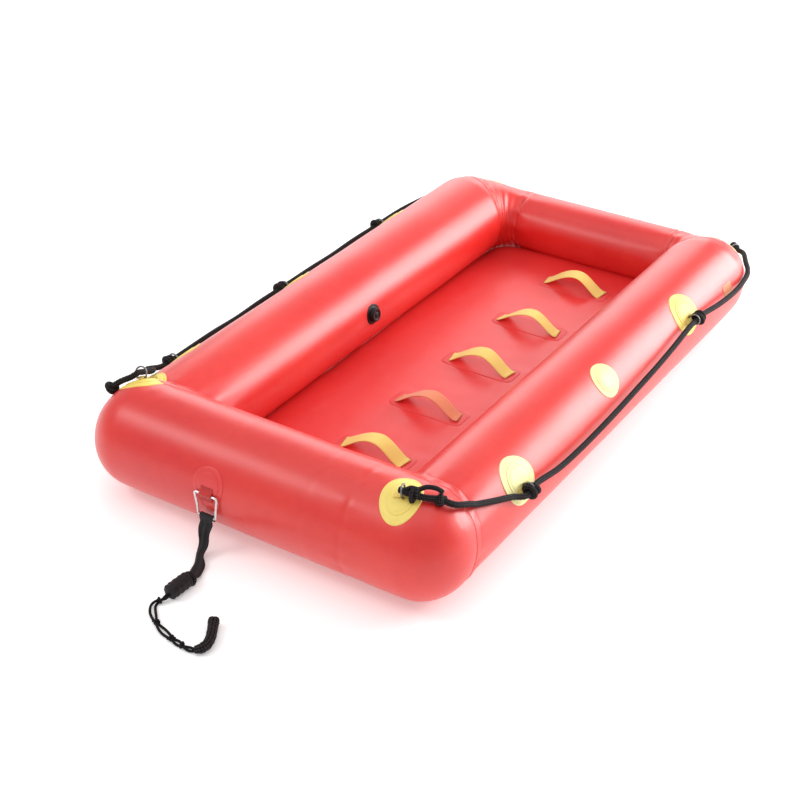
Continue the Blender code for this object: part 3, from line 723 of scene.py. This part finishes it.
def joint_rows(side, angle):
    """The tape over the joint between a side tube and the bow tube, from one edge to the other."""
    seam = bow_seam(side, angle)
    tangent = (bow_seam(side, angle + 0.01) - bow_seam(side, angle - 0.01)).normalized()
    from_bow, from_side = bow_normal(seam), Vector((side * math.cos(angle), 0.0, math.sin(angle)))
    across = tangent.cross(from_bow).normalized()
    if across.dot(from_side) < 0.0:
        across.negate()
    between = (from_bow + from_side).normalized()
    rows = [on_bow(seam + across * away, lift) for away, lift in
            mm((13, -1.2), (13, 0.5), (11.5, 1.3), (6, 1.7))]
    rows.append(seam + between * 0.0032)
    rows += [side_skin(side, seam.y + away, angle, lift) for away, lift in
             mm((6, 1.8), (11.5, 1.4), (13, 0.6), (13, -1.5))]
    rows.append(seam + between * -0.0020)
    return rows + rows[:1]


JOINT_STEPS = 180
for word, side in SIDES:
    rows = [joint_rows(side, TURN * (k % JOINT_STEPS) / JOINT_STEPS) for k in range(JOINT_STEPS + 1)]
    wide = len(rows[0]) - 1
    keep("joint_tape_" + word, wrapped(
        wide, JOINT_STEPS, lambda u, v: rows[round(v * JOINT_STEPS)][round(u * wide)], 0.05, 0.9),
        tape_red)


# Floor

def reach_at(radius, z):
    """How far a tube reaches sideways from its middle at height z."""
    return math.sqrt(max(0.0, radius * radius - (radius - z) ** 2))


def floor_edge(y, z):
    """Half width of the floor at y: out to the tubes at height z."""
    if y <= BEND_Y:
        return SIDE_X - reach_at(SIDE_R, z)
    low, high = 0.0, RIGHT_ANGLE
    for _ in range(24):
        middle = (low + high) / 2
        centre, out, radius = bend_frame(middle, 1.0)
        low, high = (middle, high) if (centre - out * reach_at(radius, z)).y < y else (low, middle)
    centre, out, radius = bend_frame(low, 1.0)
    return (centre - out * reach_at(radius, z)).x


def floor_height(x, y, half):
    """Soft top of the floor: slack between the patches and a tucked edge."""
    edge = half - abs(x)
    out = FLOOR_TOP - 0.0010 + 0.0012 * unrest(x, y, 1.0, 5.0) + 0.0007 * unrest(x, y, 4.0, 17.0)
    out -= 0.0050 * math.exp(-max(0.0, edge) / 0.016)
    for strap_x, strap_y in zip(STRAP_XS, STRAP_YS):
        off_x, off_y = abs(x - strap_x), abs(y - strap_y)
        if off_x < 0.22 and off_y < 0.12:
            out += (FLOOR_TOP - 0.0003 - out) * ease((0.075 - off_y) / 0.03) * ease((0.165 - off_x) / 0.03)
    return out


FLOOR_FRONT = BOW_Y + reach_at(BOW_R, FLOOR_TOP) - 0.010
FLOOR_BACK = STERN_Y - reach_at(STERN_R, FLOOR_TOP) + 0.006


def floor_top(u, v):
    y = FLOOR_FRONT + (FLOOR_BACK - FLOOR_FRONT) * v
    half = floor_edge(min(y, FLOOR_BACK - 0.002), FLOOR_TOP)
    x = (2.0 * u - 1.0) * (half + 0.006)
    return Vector((x, y, floor_height(x, y, half)))


floor_shape = wrapped(110, 190, floor_top, 0.72, FLOOR_BACK - FLOOR_FRONT)
bmesh.ops.dissolve_degenerate(floor_shape, edges=floor_shape.edges, dist=0.00001)
flat_cap = [face for face in floor_shape.faces if len(face.verts) > 8]
bmesh.ops.delete(floor_shape, geom=flat_cap, context="FACES")
skirt = bmesh.ops.extrude_edge_only(floor_shape, edges=rim_edges(floor_shape))["geom"]
for vert in [item for item in skirt if isinstance(item, bmesh.types.BMVert)]:
    vert.co.z = FLOOR_BOTTOM + 0.0005
bmesh.ops.holes_fill(floor_shape, edges=rim_edges(floor_shape), sides=0)
floor_tree = tree_of([keep("floor_skin_sheet", floor_shape, floor_red, ["floor_panel"])])


# Patches, stitches and webbing

def laid(tree, place, x, y, height):
    """A point at x, y of a place, dropped on what lies under it and lifted by height."""
    normal = place.to_3x3() @ UP
    hit = tree.ray_cast(place @ Vector((x, y, 0.06)), -normal, 0.2)[0]
    return (place @ Vector((x, y, 0.0)) if hit is None else hit) + normal * height


def round_patch(tree, place, profile, stretch=(1.0, 1.0)):
    """A round glued layer from radius and height pairs, top first, stretched where it is oval."""
    def put(u, v):
        r, h = profile[round(v * (len(profile) - 1))]
        return laid(tree, place, r * stretch[0] * math.cos(TURN * u), r * stretch[1] * math.sin(TURN * u), h)

    return wrapped(72, len(profile) - 1, put, TURN * profile[-2][0], 0.1)


def box_patch(tree, place, half_x, half_y, height, shares, around=120):
    """A glued rounded rectangle of even height with a thin rim."""
    profile = [(share, height) for share in shares] + [(1.0, 0.0006), (1.0, -0.0010), (0.0, -0.0010)]

    def put(u, v):
        share, h = profile[round(v * (len(profile) - 1))]
        c, s = math.cos(TURN * u), math.sin(TURN * u)
        reach = share * ((abs(c) / half_x) ** 7.0 + (abs(s) / half_y) ** 7.0) ** (-1.0 / 7.0)
        return laid(tree, place, reach * c, reach * s, h)

    return wrapped(around, len(profile) - 1, put, 4 * half_x, 2 * half_y)


def stitch_line(points, lift, step=0.0042, long=0.0030, size=0.00055):
    """Small thread stitches along a line of points."""
    line = even_line(points, step)
    out = []
    for a, b in zip(line, line[1:]):
        shape = bmesh.new()
        shape.loops.layers.uv.new("lay")
        place = basis((a + b) / 2, (b - a).normalized(), lift)
        bmesh.ops.create_icosphere(shape, subdivisions=1, radius=1.0,
                                   matrix=place @ Matrix.Diagonal((long / 2, size, size, 1.0)))
        out.append(shape)
    return out


STRAP_HALF, STRAP_FOOT, STRAP_RISE = 0.108, 0.005, 0.051
PATCH_HALF_X, PATCH_HALF_Y, PATCH_THICK = 0.128, 0.044, 0.0012


def arch_height(t):
    """Height of a webbing arch at t from -1 to 1: steep to starboard, drawn out to port."""
    crest = 0.1
    share = (t - crest) / (1.0 + crest if t < crest else 1.0 - crest)
    return STRAP_RISE * max(0.0, math.cos(math.pi / 2 * share)) ** (1.15 if t < crest else 1.6)


def lifting_strap(number, x, y, surface):
    """Patch and webbing arch with sewn feet; gives back its stitches."""
    patch = box_patch(floor_tree, Matrix.Translation((x, y, FLOOR_TOP)), PATCH_HALF_X, PATCH_HALF_Y,
                      PATCH_THICK, (0.0, 0.5, 0.88, 0.985))
    keep("strap_patch_skin_%d" % number, patch, patch_red, ["strap_patch_%d" % number])
    base, open_half = FLOOR_TOP + 0.0033, STRAP_HALF - STRAP_FOOT
    marks = [Vector((x - STRAP_HALF + STRAP_FOOT * k / 3, y, base)) for k in range(3)]
    marks += [Vector((x + t * open_half, y, base + arch_height(t))) for t in
              (k / 14 - 1.0 for k in range(29))]
    marks += [Vector((x + open_half + STRAP_FOOT * k / 3, y, base)) for k in range(1, 4)]
    line = smooth_line(marks, 3)
    sway = 0.0025 if number % 2 else -0.0025
    for k, point in enumerate(line):
        point.y += sway * math.sin(math.pi * k / (len(line) - 1))

    def outline(v):
        lean = 0.0010 * math.sin(9.0 * v + number)
        return [(a, b + lean * a / 0.02) for a, b in band_outline(STRAP_WIDTH, 0.0026, 0.0005)]

    keep("strap_webbing_%d" % number, run_flat(line, outline, ASTERN, 2.0 * STRAP_WIDTH), surface,
         ["strap_%d" % number])
    rows = []
    for end in (-1.0, 1.0):
        row_x = x + end * (STRAP_HALF - 0.0028)
        rows += stitch_line([Vector((row_x, y + b, base + 0.0016)) for b in (-0.020, 0.020)], UP)
    return rows


strap_stitches = []
for number, (x, y) in enumerate(zip(STRAP_XS, STRAP_YS), start=1):
    strap_stitches += lifting_strap(number, x, y, web_faded if number == 2 else web_yellow)
keep("strap_stitches", joined(strap_stitches), thread_yellow)


# Pads, tabs and rings along the outside

def ring_line(half, rise, size):
    """A D-shaped ring's closed line in its own plane: a straight bar below a round bow."""
    marks = [(-half, 0.0), (0.0, 0.0), (half, 0.0), (half + 0.0033, 0.0020)]
    marks += [(size * math.cos(a), rise + size * math.sin(a)) for a in
              (math.radians(20.0 * k - 20.0) for k in range(12))]
    marks.append((-half - 0.0033, 0.0020))
    points = [Vector((a, 0.0, b)) for a, b in marks]
    return smooth_line(points[-2:] + points + points[:3], 4)[8:-8]


def closed_wire(line, radius, normal, sides=14):
    """A closed loop of wire in a plane with this normal."""
    count = len(line)

    def place(u, v):
        k = round(v * count) % count
        ahead = (line[(k + 1) % count] - line[k - 1]).normalized()
        return line[k] + radius * (math.cos(TURN * u) * normal + math.sin(TURN * u) * ahead.cross(normal))

    return wrapped(sides, count, place, TURN * radius, line_length(line))


def tab_marks(top, *half):
    """Marks of a sewn tab, along and lift in metres: half of them and the top, mirrored."""
    rows = mm(*half)
    return [(-a, b) for a, b in rows] + [(0.0, top)] + rows[::-1]


PAD_BASE = mm((0, 2.1), (20, 2.1), (40, 2.1), (57.5, 2.1), (59, 1.6), (60.5, 1.6), (62, 2.2), (65.2, 2.2),
              (66.4, 1.6), (66.8, 0.6), (66.8, -1), (0, -1))
PAD_CROWN = mm((0, 4.8), (14, 4.8), (28, 4.5), (38.5, 4.1), (39.5, 3.4), (41, 3.4), (42.5, 4), (45, 3.8),
               (46.2, 3), (46.6, 1.8), (0, 1.8))
PAD_TAB = tab_marks(0.0073, (26, 1.4), (20, 1.4), (13.5, 1.6), (8, 4.2), (4, 6.6))
PAD_BOX = mm((14.5, -7.5), (23.5, -7.5), (23.5, 7.5), (14.5, 7.5), (14.5, -7.5))
PAD_TOP, RING_HALF = 0.0042, 0.0105
rings_at = {}


def grab_pad(tag, place, run, ring=None, extra=0.0, surface=pad_yellow, stretch=(1.0, 1.0)):
    """Two glued discs and, where ring gives its point and normal, a sewn tab with a ring in it."""
    discs = joined([round_patch(hull_tree, place, rows, stretch) for rows in (PAD_BASE, PAD_CROWN)])
    keep("pad_skin_" + tag, discs, surface, ["pad_" + tag])
    if ring is None:
        return []
    point, normal = ring
    base = PAD_TOP + extra
    place = basis(point + normal * base, run, normal)
    along, across, lift = [place.to_3x3() @ way for way in (TO_PORT, ASTERN, UP)]
    line = smooth_line([place @ Vector((a, 0.0, b)) for a, b in PAD_TAB], 3)
    tab = run_flat(line, lambda v: band_outline(0.0195, 0.0017, 0.0002, 6), across, 0.042)
    keep("pad_tab_webbing_" + tag, tab, web_yellow, ["pad_tab_" + tag])
    bar = point + normal * (base + 0.0001 + RING_WIRE)
    line = [bar + p.x * across + p.z * lift for p in ring_line(RING_HALF, RING_RISE, RING_R)]
    keep("pad_ring_wire_" + tag, closed_wire(line, RING_WIRE, along), steel_dull,
         ["pad_ring_" + tag])
    rings_at[tag] = (bar + lift * RING_RISE, along, lift)
    stitches = []
    for end in (-1.0, 1.0):
        box = [place @ Vector((end * a, b, 0.0025)) for a, b in PAD_BOX]
        stitches += stitch_line(box, lift, 0.0036, 0.0026, 0.0005)
    return stitches


run = Vector((1.0, 0.35, 0.0))
oval_point, oval_normal = bow_place(0.424, 106.0)
pad_stitches = grab_pad("port_1", basis(oval_point, run, oval_normal), run, bow_place(0.430, 104.0), 0.0003,
                        stretch=(0.83, 1.15))
run = Vector((-0.4, 1.0, 0.0))
point, normal = bow_place(-0.515, 68.0)
pad_stitches += grab_pad("starboard_1", basis(point, run, normal), run, (point, normal), 0.0003)
LAST_PAD = (BEND_Y + 0.140, 33.0)
PADS = {"port": ((-0.615, 32.0), (-0.085, 45.0), (0.418, 36.0), LAST_PAD),
        "starboard": ((-0.606, 33.0), (-0.068, 33.0), (0.473, 33.0), LAST_PAD)}
for word, side in SIDES:
    for number, (y, degrees) in enumerate(PADS[word], start=2):
        tag = "%s_%d" % (word, number)
        bare = tag == "port_3"
        run = Vector((-side * math.sin(0.82), math.cos(0.82), 0.0)) if number == 5 else ASTERN
        point, normal = side_place(side, y, degrees)
        pad_stitches += grab_pad(tag, basis(point, run, normal), run,
                                 None if bare else side_place(side, y, degrees - 10.0),
                                 surface=pad_pale if tag in ("port_2", "port_3") else pad_yellow,
                                 stretch=(0.80, 0.80) if bare else (1.0, 1.0))
keep("pad_stitches", joined(pad_stitches), thread_yellow)


# Grab lines

ROPE_GAP = 0.0130


def rope_clear(point, side, gap=ROPE_GAP):
    """Push a rope point out of the tubes where it is too near."""
    result = point.copy()
    for _ in range(2):
        if result.y <= BEND_Y:
            centre, _, radius = side_frame(side, result.y)
        else:
            angle = math.atan2(result.y - BEND_Y, max(1e-6, abs(result.x) - BEND_X))
            centre, _, radius = bend_frame(min(RIGHT_ANGLE, angle), side)
        away = result - centre
        if away.length < radius + gap and result.y > BOW_Y + 0.03:
            result = centre + away.normalized() * (radius + gap)
        middle = Vector((max(-BOW_STRAIGHT, min(BOW_STRAIGHT, result.x)), BOW_Y, BOW_R))
        away = result - middle
        if away.length < BOW_R + gap:
            result = middle + away.normalized() * (BOW_R + gap)
    return result


def through(tag, along=0.0, lift=0.0, out=0.004, down=0.0034):
    """A place at a pad's ring, moved along the line, off the pad, outboard and down."""
    centre, run, normal = rings_at[tag]
    outward = Vector((normal.x, normal.y, 0.0)).normalized()
    return centre + outward * out - Vector((0.0, 0.0, down)) + run * along + normal * lift


def stop_at(word, stop):
    """A stop is a place in millimetres, or a pad's number and the way from its ring as in through()."""
    if isinstance(stop[0], str):
        return through(word + "_" + stop[0], *mm(stop[1:])[0])
    return marked(stop)[0]


def braid_relief(size, strands=3, pitch=0.021, deep=0.21):
    """Crossing strands standing out of a rope's surface."""
    def relief(along, angle):
        one = math.sin(strands * angle + TURN * along / pitch)
        other = math.sin(strands * angle - TURN * along / pitch)
        return size * deep * (abs(one * other) ** 0.7 - 0.35)
    return relief


def knot(line, at, size, reach, turns=2.2, lean=0.0):
    """A tight knot tied round a rope at a metre mark of its line."""
    spans, k = 0.0, 0
    while k < len(line) - 2 and spans < at:
        spans += (line[k + 1] - line[k]).length
        k += 1
    ahead = (line[min(k + 2, len(line) - 1)] - line[max(k - 2, 0)]).normalized()
    side = ahead.orthogonal()
    lift = ahead.cross(side)
    strand, steps, path = size * 0.88, 96, []
    for n in range(steps + 1):
        t = n / steps
        angle = TURN * turns * t + lean
        hold = ease(t / 0.10) * ease((1.0 - t) / 0.10)
        out = size * (0.35 + 1.12 * hold) + size * 0.16 * math.sin(angle * 1.5 + lean)
        shift = (t - 0.5) * reach + reach * 0.20 * math.sin(angle * 0.5 + lean)
        path.append(line[k] + ahead * shift + out * (math.cos(angle) * side + math.sin(angle) * lift))
    return run_round(even_line(path, 0.0022), strand, 18, braid_relief(strand, 4, 0.017, 0.10))


def grab_line(word, side, stops, knots, loops=()):
    """A grab line through its stops; a knot is a stop, its size and reach in mm, turns and lean."""
    marks = smooth_line([stop_at(word, stop) for stop in stops], 8)
    line = even_line([rope_clear(p, side) for p in marks], ROPE_STEP)
    for _ in range(24):
        inner = [(a + 2.0 * b + c) / 4.0 for a, b, c in zip(line, line[1:], line[2:])]
        line = line[:1] + inner + line[-1:]
    shapes = [run_round(line, ROPE_R, 20, braid_relief(ROPE_R))]
    for stop, size, reach, turns, lean in knots:
        spot = stop_at(word, stop)
        at, total, best = 0.0, 0.0, 9.0
        for a, b in zip(line, line[1:]):
            if (a - spot).length < best:
                best, at = (a - spot).length, total
            total += (b - a).length
        shapes.append(knot(line, at, size / 1000.0, reach / 1000.0, turns, lean))
    keep("grab_line_braid_" + word, joined(shapes + list(loops)), rope_black,
         ["grab_line_" + word])


first = through("port_1", 0.0, 0.0, 0.0, 0.0)
_, along, lift = rings_at["port_1"]
eye = [first + along * a + along.cross(lift) * b + lift * c for a, b, c in
       mm((4, 0, 0), (20, -8, 3), (40, -4, 4), (60, -12, 6), (84, -12, 4), (104, -2, 2))]
EYE_R = 0.0058
eye_loop = run_round(even_line([rope_clear(p, 1.0, 0.010) for p in smooth_line(eye, 8)], 0.0022), EYE_R, 16,
                     braid_relief(EYE_R, 4, 0.016))
grab_line("port", 1.0, [
    ("1", -12, 3, 0, 0), ("1", 0, 0, 0, 0), (458, -929, 316.5), (491, -921, 315), (518.8, -901, 308),
    (538.5, -894, 299), (553, -878, 289), (562, -838, 270), (570, -798, 254), (585, -740, 234),
    (597, -678, 212), ("2", -30, 1, 5, 7), ("2", 0, 0, 5, 7), ("2", 40), (618, -470, 186), (619, -356, 180),
    (619, -236, 180), (619, -116, 184), (618, 10, 190), (617, 142, 197), (614, 270, 206), ("4", -45), ("4",),
    ("4", 45), (618, 580, 200), (618, 700, 188), (608, 800, 182), (582, 880, 178), ("5", -45, 1), ("5",),
    ("5", 34, 1),
], [
    ((458, -929, 316.5), 7.2, 17, 2.3, 0.4), ((518.8, -901, 308), 6.6, 14, 1.7, 1.9),
    (("2", -2, 0, 5, 7), 8, 17, 2.2, 0.9), (("4", 20), 7.6, 16, 2.2, 2.3), (("5", 18), 7, 15, 1.8, 1.2),
], [eye_loop])
grab_line("starboard", -1.0, [
    (-592, -890, 252), (-573, -886, 270), (-546, -873, 290), ("1", -18, 1, 0, 0), ("1", 0, 0, 0, 0),
    ("1", 36, 1, 0, 0), ("1", 85, -6, 0, 0), (-602, -730, 240), ("2", -50, 1), ("2",), ("2", 45),
    (-617, -420, 205), (-618, -300, 200), (-617, -190, 204), ("3", -45), ("3",), ("3", 45), (-617, 90, 204),
    (-618, 200, 201), (-617, 320, 205), ("4", -45), ("4",), ("4", 45), (-617, 610, 202), (-617, 710, 194),
    (-608, 800, 188), (-582, 880, 180), ("5", -45, 1), ("5",), ("5", 34, 1),
], [
    ((-584, -889, 260), 7, 16, 2.2, 0.2), (("2", -16, 2), 7.4, 16, 2.2, 1.1),
    (("3", -16, 2), 7.6, 16, 2.2, 2.0), (("4", -16, 2), 7.6, 16, 2.2, 0.6), (("5", 18), 7, 15, 1.8, 1.6),
])


# Blank patch, valve and bow fittings

point, normal = side_place(1.0, 0.700, 17.0)
patch = box_patch(hull_tree, basis(point, ASTERN, normal), 0.030, 0.024, 0.0013, (0.0, 0.4, 0.8, 0.965), 96)
keep("blank_label_skin", patch, label_orange, ["blank_label"])

CAP_RIBS, RIB_DEPTH, RIB_FROM = 24, 0.0009, 0.0213


def turned_piece(place, profile, around=72, ribs=0):
    """A turned piece from radius and height pairs, with grip ribs cut in its widest part."""
    def put(u, v):
        r, h = profile[round(v * (len(profile) - 1))]
        if ribs and r > RIB_FROM:
            r -= RIB_DEPTH * max(0.0, math.cos(ribs * TURN * u)) ** 2
        return place @ Vector((r * math.cos(TURN * u), r * math.sin(TURN * u), h))

    return wrapped(around, len(profile) - 1, put, TURN * 0.022, 0.02)


BODY_AT, CAP_AT = 0.0026, 0.0078
point, normal = side_place(-1.0, 0.0, 173.0)
flange = mm((0, 2.7), (15, 2.7), (26.2, 2.7), (26.8, 2.1), (28, 2.1), (28.6, 2.6), (32.2, 2.2), (33.4, 1.4),
            (33.7, -1), (0, -1))
keep("valve_flange_skin", round_patch(hull_tree, basis(point, ASTERN, normal), flange), flange_rubber,
     ["valve_flange"])
body = mm((0, 0), (22.5, 0), (24.6, 0.6), (25.2, 1.4), (25.2, 5.2), (24.6, 6.4), (23.4, 7.4), (21, 7.4),
          (20.5, 6.4), (0, 6.4))
keep("valve_body_moulding", turned_piece(basis(point + normal * BODY_AT, ASTERN, normal), body),
     black_moulding, ["valve_body"])
cap = mm((0, -4), (19, -4), (19.6, 0), (21.6, 0.6), (21.9, 1.4), (21.9, 4.8), (21.2, 6.2), (19.6, 7),
         (15, 7.1), (14.3, 6.2), (7.5, 6), (6.8, 6.8), (0, 7))
keep("valve_cap_moulding", turned_piece(basis(point + normal * CAP_AT, ASTERN, normal), cap, 192, CAP_RIBS),
     black_moulding, ["valve_cap"])

point, normal = bow_place(BOW_RING_X, 163.5)
front = basis(point, TO_PORT, normal)
bow_base = mm((0, 2), (20, 2), (40, 2), (47, 2), (49.4, 1.6), (50.2, 0.6), (50.2, -1), (0, -1))
bow_crown = mm((0, 4), (18, 4), (32, 3.8), (35.2, 3.4), (36.4, 2.8), (36.6, 1.2), (0, 1.2))
keep("bow_patch_skin", joined([round_patch(hull_tree, front, rows) for rows in (bow_base, bow_crown)]),
     patch_red, ["bow_patch"])

tab_point, tab_normal = bow_place(BOW_RING_X, 173.0)
bar_place = tab_point + tab_normal * 0.0085
TOP, LOW, DROP, TOW_WIRE = 0.0370, 0.0295, 0.068, 0.0034
right = [(TOP - 0.006, 0.0, 0.0), (TOP - 0.0015, 0.0, 0.002), (TOP, 0.0, 0.008), (LOW + 0.002, 0.001, 0.040),
         (LOW, 0.002, DROP - 0.006), (LOW - 0.002, 0.002, DROP - 0.0018), (LOW - 0.006, 0.002, DROP)]
left = [(-a, b, c) for a, b, c in reversed(right)]
corners = [Vector((BOW_RING_X + a, bar_place.y - b, bar_place.z - c))
           for a, b, c in left[-1:] + [(0.0, 0.0, 0.0)] + right + [(0.0, 0.002, DROP)] + left[:-1]]
line = smooth_line(corners[-2:] + corners + corners[:3], 5)[10:-10]
keep("bow_ring_wire", closed_wire(line, TOW_WIRE, -ASTERN, 16), steel, ["bow_ring"])

tab_place = basis(tab_point, UP, tab_normal)


def on_tab(along, across, height):
    """A place on the bow tab, which bends with the round tube below it."""
    fall = BOW_R - math.sqrt(BOW_R * BOW_R - along * along)
    return tab_place @ Vector((along, across, height - fall))


BOW_TAB = tab_marks(0.0131, (21, 5), (16, 5), (11, 5.4), (6.8, 8.2), (3.5, 11.8))
line = smooth_line([on_tab(a, 0.0, b) for a, b in BOW_TAB], 4)
keep("bow_tab_webbing", run_flat(line, lambda v: band_outline(0.040, 0.0017, 0.0002), TO_PORT, 0.083),
     web_red, ["bow_tab"])
tab_stitches = []
for level in (-0.0125, -0.0190, 0.0125, 0.0190):
    row = [on_tab(level, b, 0.0060) for b in (-0.017, 0.017)]
    tab_stitches += stitch_line(row, tab_normal, 0.0038, 0.0028, 0.0006)
keep("bow_tab_stitches", joined(tab_stitches), thread_red)


# Tether: flat strap, toggle, twined thin line and its plaited end

TETHER_WIDTH, TETHER_THICK, AT_RING = 0.0355, 0.0030, 1.22
low_z, ring_y = bar_place.z - DROP, bar_place.y - 0.002
wrap = TOW_WIRE + 0.0010 + TETHER_THICK * 0.5
front_y = ring_y - wrap
loop_line = [Vector((BOW_RING_X, ring_y + wrap, low_z - fall)) for fall in (0.014, 0.008)]
loop_line += [Vector((BOW_RING_X, ring_y + wrap * math.cos(a), low_z + wrap * math.sin(a)))
              for a in (math.pi * k / 12 for k in range(13))]
loop_line.append(Vector((BOW_RING_X, front_y, low_z - 0.006)))
strap_marks = [Vector((BOW_RING_X, front_y, low_z - fall)) for fall in (0.006, 0.018)]
strap_marks += marked(
    (-120, -1069.2, 77), (-120, -1073.8, 53.5), (-117.8, -1086.8, 32.2), (-111, -1105.5, 16.5),
    (-101.5, -1124, 9.2), (-89.5, -1144, 6.6), (-79.5, -1164, 6.4), (-72, -1183, 8.4),
    (-68.2, -1198.5, 13), (-66.8, -1208.5, 17))
strap_line = even_line(smooth_line(strap_marks, 6), 0.0030)


def strap_outline(v):
    """Folded, crumpled webbing: full width at the ring, pinched below it and gathered into the toggle."""
    gather = AT_RING - 0.40 * ease((v - 0.06) / 0.30) + 0.22 * ease((v - 0.48) / 0.22)
    gather -= 0.40 * ease((v - 0.84) / 0.14)
    loose = ease(v / 0.12)
    thick = 0.0034 + 0.0040 * ease((v - 0.10) / 0.40)
    squeeze = 1.0 + 0.07 * loose * math.sin(19.0 * v + 0.6)
    drift = 0.0016 * loose * math.sin(23.0 * v)
    return [(a * squeeze + drift, b + loose * (0.0021 * math.sin(a * 330.0 + 6.0 * v)
                                               + 0.0020 * math.sin(13.0 * v + a * 70.0)))
            for a, b in band_outline(TETHER_WIDTH * gather, thick, 0.0, 12)]


loop = run_flat(even_line(loop_line, 0.0012),
                lambda v: band_outline(TETHER_WIDTH * AT_RING, 0.0034, 0.0, 12), TO_PORT, 0.08)
keep("tether_strap_loop", loop, web_black, ["tether_strap"])
tether_strap = keep("tether_strap_webbing", run_flat(strap_line, strap_outline, TO_PORT, 0.08), web_black,
                    ["tether_strap"])

toggle_line = even_line(marked((-66.8, -1208.8, 21.2), (-69.3, -1280.6, 21.2)), 0.0014)
toggle_long = line_length(toggle_line)


def toggle_size(along):
    """Rolled webbing sleeve: thick ends, rolls between them."""
    edge = min(along, toggle_long - along)
    size = 0.0168 + 0.0038 * ease(edge / 0.004) - 0.0016 * bell(edge - 0.013, 0.0018)
    return size + 0.0006 * math.cos(along * TURN / 0.0180)


def toggle_relief(along, angle):
    return 0.0012 * (abs(math.cos(2.0 * angle)) ** 6 - 0.3) + 0.0005 * math.sin(9.0 * angle + 40.0 * along)


tether_toggle = keep("tether_toggle_sleeve", run_round(toggle_line, toggle_size, 56, toggle_relief),
                     web_black, ["tether_toggle"])
knot_line = strap_line[:-1] + marked((-66.8, -1210, 18))
tied = knot(knot_line, line_length(knot_line) - 0.008, 0.0070, 0.014, 1.8, 0.5)
strap_knot = keep("tether_strap_knot", tied, rope_black)
tuple(strap_line[0])
line_length(strap_line)
[tuple(p) for p in strap_line]

CORD_R, STRAND_R, LINE_STEP = 0.0075, 0.0035, 0.0016
line_marks = marked(
    (-69.4, -1281.5, 18.5), (-69.6, -1286.5, 18.1), (-73.5, -1295.5, 13.5), (-81.2, -1306, 9.2),
    (-85.5, -1316.5, 7.5), (-81.5, -1330, 7.5), (-69, -1345.5, 7.5), (-51, -1360, 7.5), (-30, -1374, 7.5),
    (3, -1388.5, 7.5), (40, -1398.5, 7.5), (70, -1404.5, 7.5), (92, -1406.2, 7.5), (108, -1406, 8.5),
    (118, -1404.2, 10))
cord_line = even_line(smooth_line(line_marks, 8), LINE_STEP)
cord_long = line_length(cord_line)
CROSSINGS = (0.0, 0.028, 0.120, 0.198, 0.238, cord_long)
OPENINGS = (0.0036, 0.0070, 0.0070, 0.0060, 0.0050)


def twined(way):
    """One of the two strands of the thin line: together at the crossings, open between them."""
    frames = frames_along(cord_line, UP)
    out = []
    for k, point in enumerate(cord_line):
        along = min(k * LINE_STEP, cord_long)
        span = max(n for n in range(len(OPENINGS)) if along >= CROSSINGS[n])
        share = (along - CROSSINGS[span]) / (CROSSINGS[span + 1] - CROSSINGS[span])
        turn = math.pi * (share + span)
        lift = frames[k][1]
        level = (lift - UP * lift.dot(UP)).normalized()
        away = math.copysign(abs(math.sin(turn)) ** 0.8, math.sin(turn))
        spot = point + level * (way * OPENINGS[span] * away)
        height = point.z - CORD_R + STRAND_R + 0.0026 + way * 0.0026 * math.cos(turn)
        spot.z = max(STRAND_R + GROUND_GAP, height)
        out.append(spot)
    return even_line(out, LINE_STEP)


strands = [run_round(twined(way), STRAND_R, 14, braid_relief(STRAND_R, 3, 0.008, 0.12))
           for way in (-1.0, 1.0)]
thin_line = keep("tether_line_twined", joined(strands), line_black, ["tether_cord"])


def line_tie(at, lean, tail):
    """A small knot where the strands cross, and its cut tail on the ground."""
    start = cord_line[round(at / LINE_STEP)] + Vector((0.0, 0.0, 0.0005))
    end = start + Vector((tail[0], tail[1], -0.0025))
    middle = (start + end) * 0.5 + Vector((0.0, 0.0, 0.001))
    return [knot(cord_line, at, 0.0032, 0.008, 1.7, lean),
            run_round(even_line([start, middle, end], 0.0012), 0.0026, 12)]


ties = []
for at, lean, tail in zip(CROSSINGS[1:], (0.8, 3.7, 1.9, 5.0), mm((-4, 7), (-13, -2), (-9, -9), (4, -8))):
    ties += line_tie(at, lean, tail)
line_ties = keep("tether_line_ties", joined(ties), line_black)

end_marks = marked(
    (119.1, -1403.9, 10.8), (130, -1398.2, 13.5), (135.2, -1388, 15), (135.2, -1374.7, 15), (129, -1356, 15),
    (118, -1337, 15), (106.5, -1319, 15.2), (96, -1303, 16), (90.5, -1294.5, 17))
end_line = even_line(smooth_line(end_marks, 8), LINE_STEP)
end_long = line_length(end_line)


def plait_size(along):
    return 0.0098 + 0.0030 * ease(along / 0.022) + 0.0018 * bell(along - end_long + 0.012, 0.010)


def plait_relief(along, angle):
    one, other = [math.sin(1.5 * angle + way * TURN * along / 0.034) for way in (1.0, -1.0)]
    return 0.0028 * (max(abs(one), abs(other)) - 0.75) + 0.0004 * math.sin(9.0 * angle + 300.0 * along)


end_plait = keep("tether_end_plait", run_round(end_line, plait_size, 40, plait_relief), rope_black,
                 ["tether_end"])
tuple(cord_line[0])
[tuple(p) for p in cord_line]
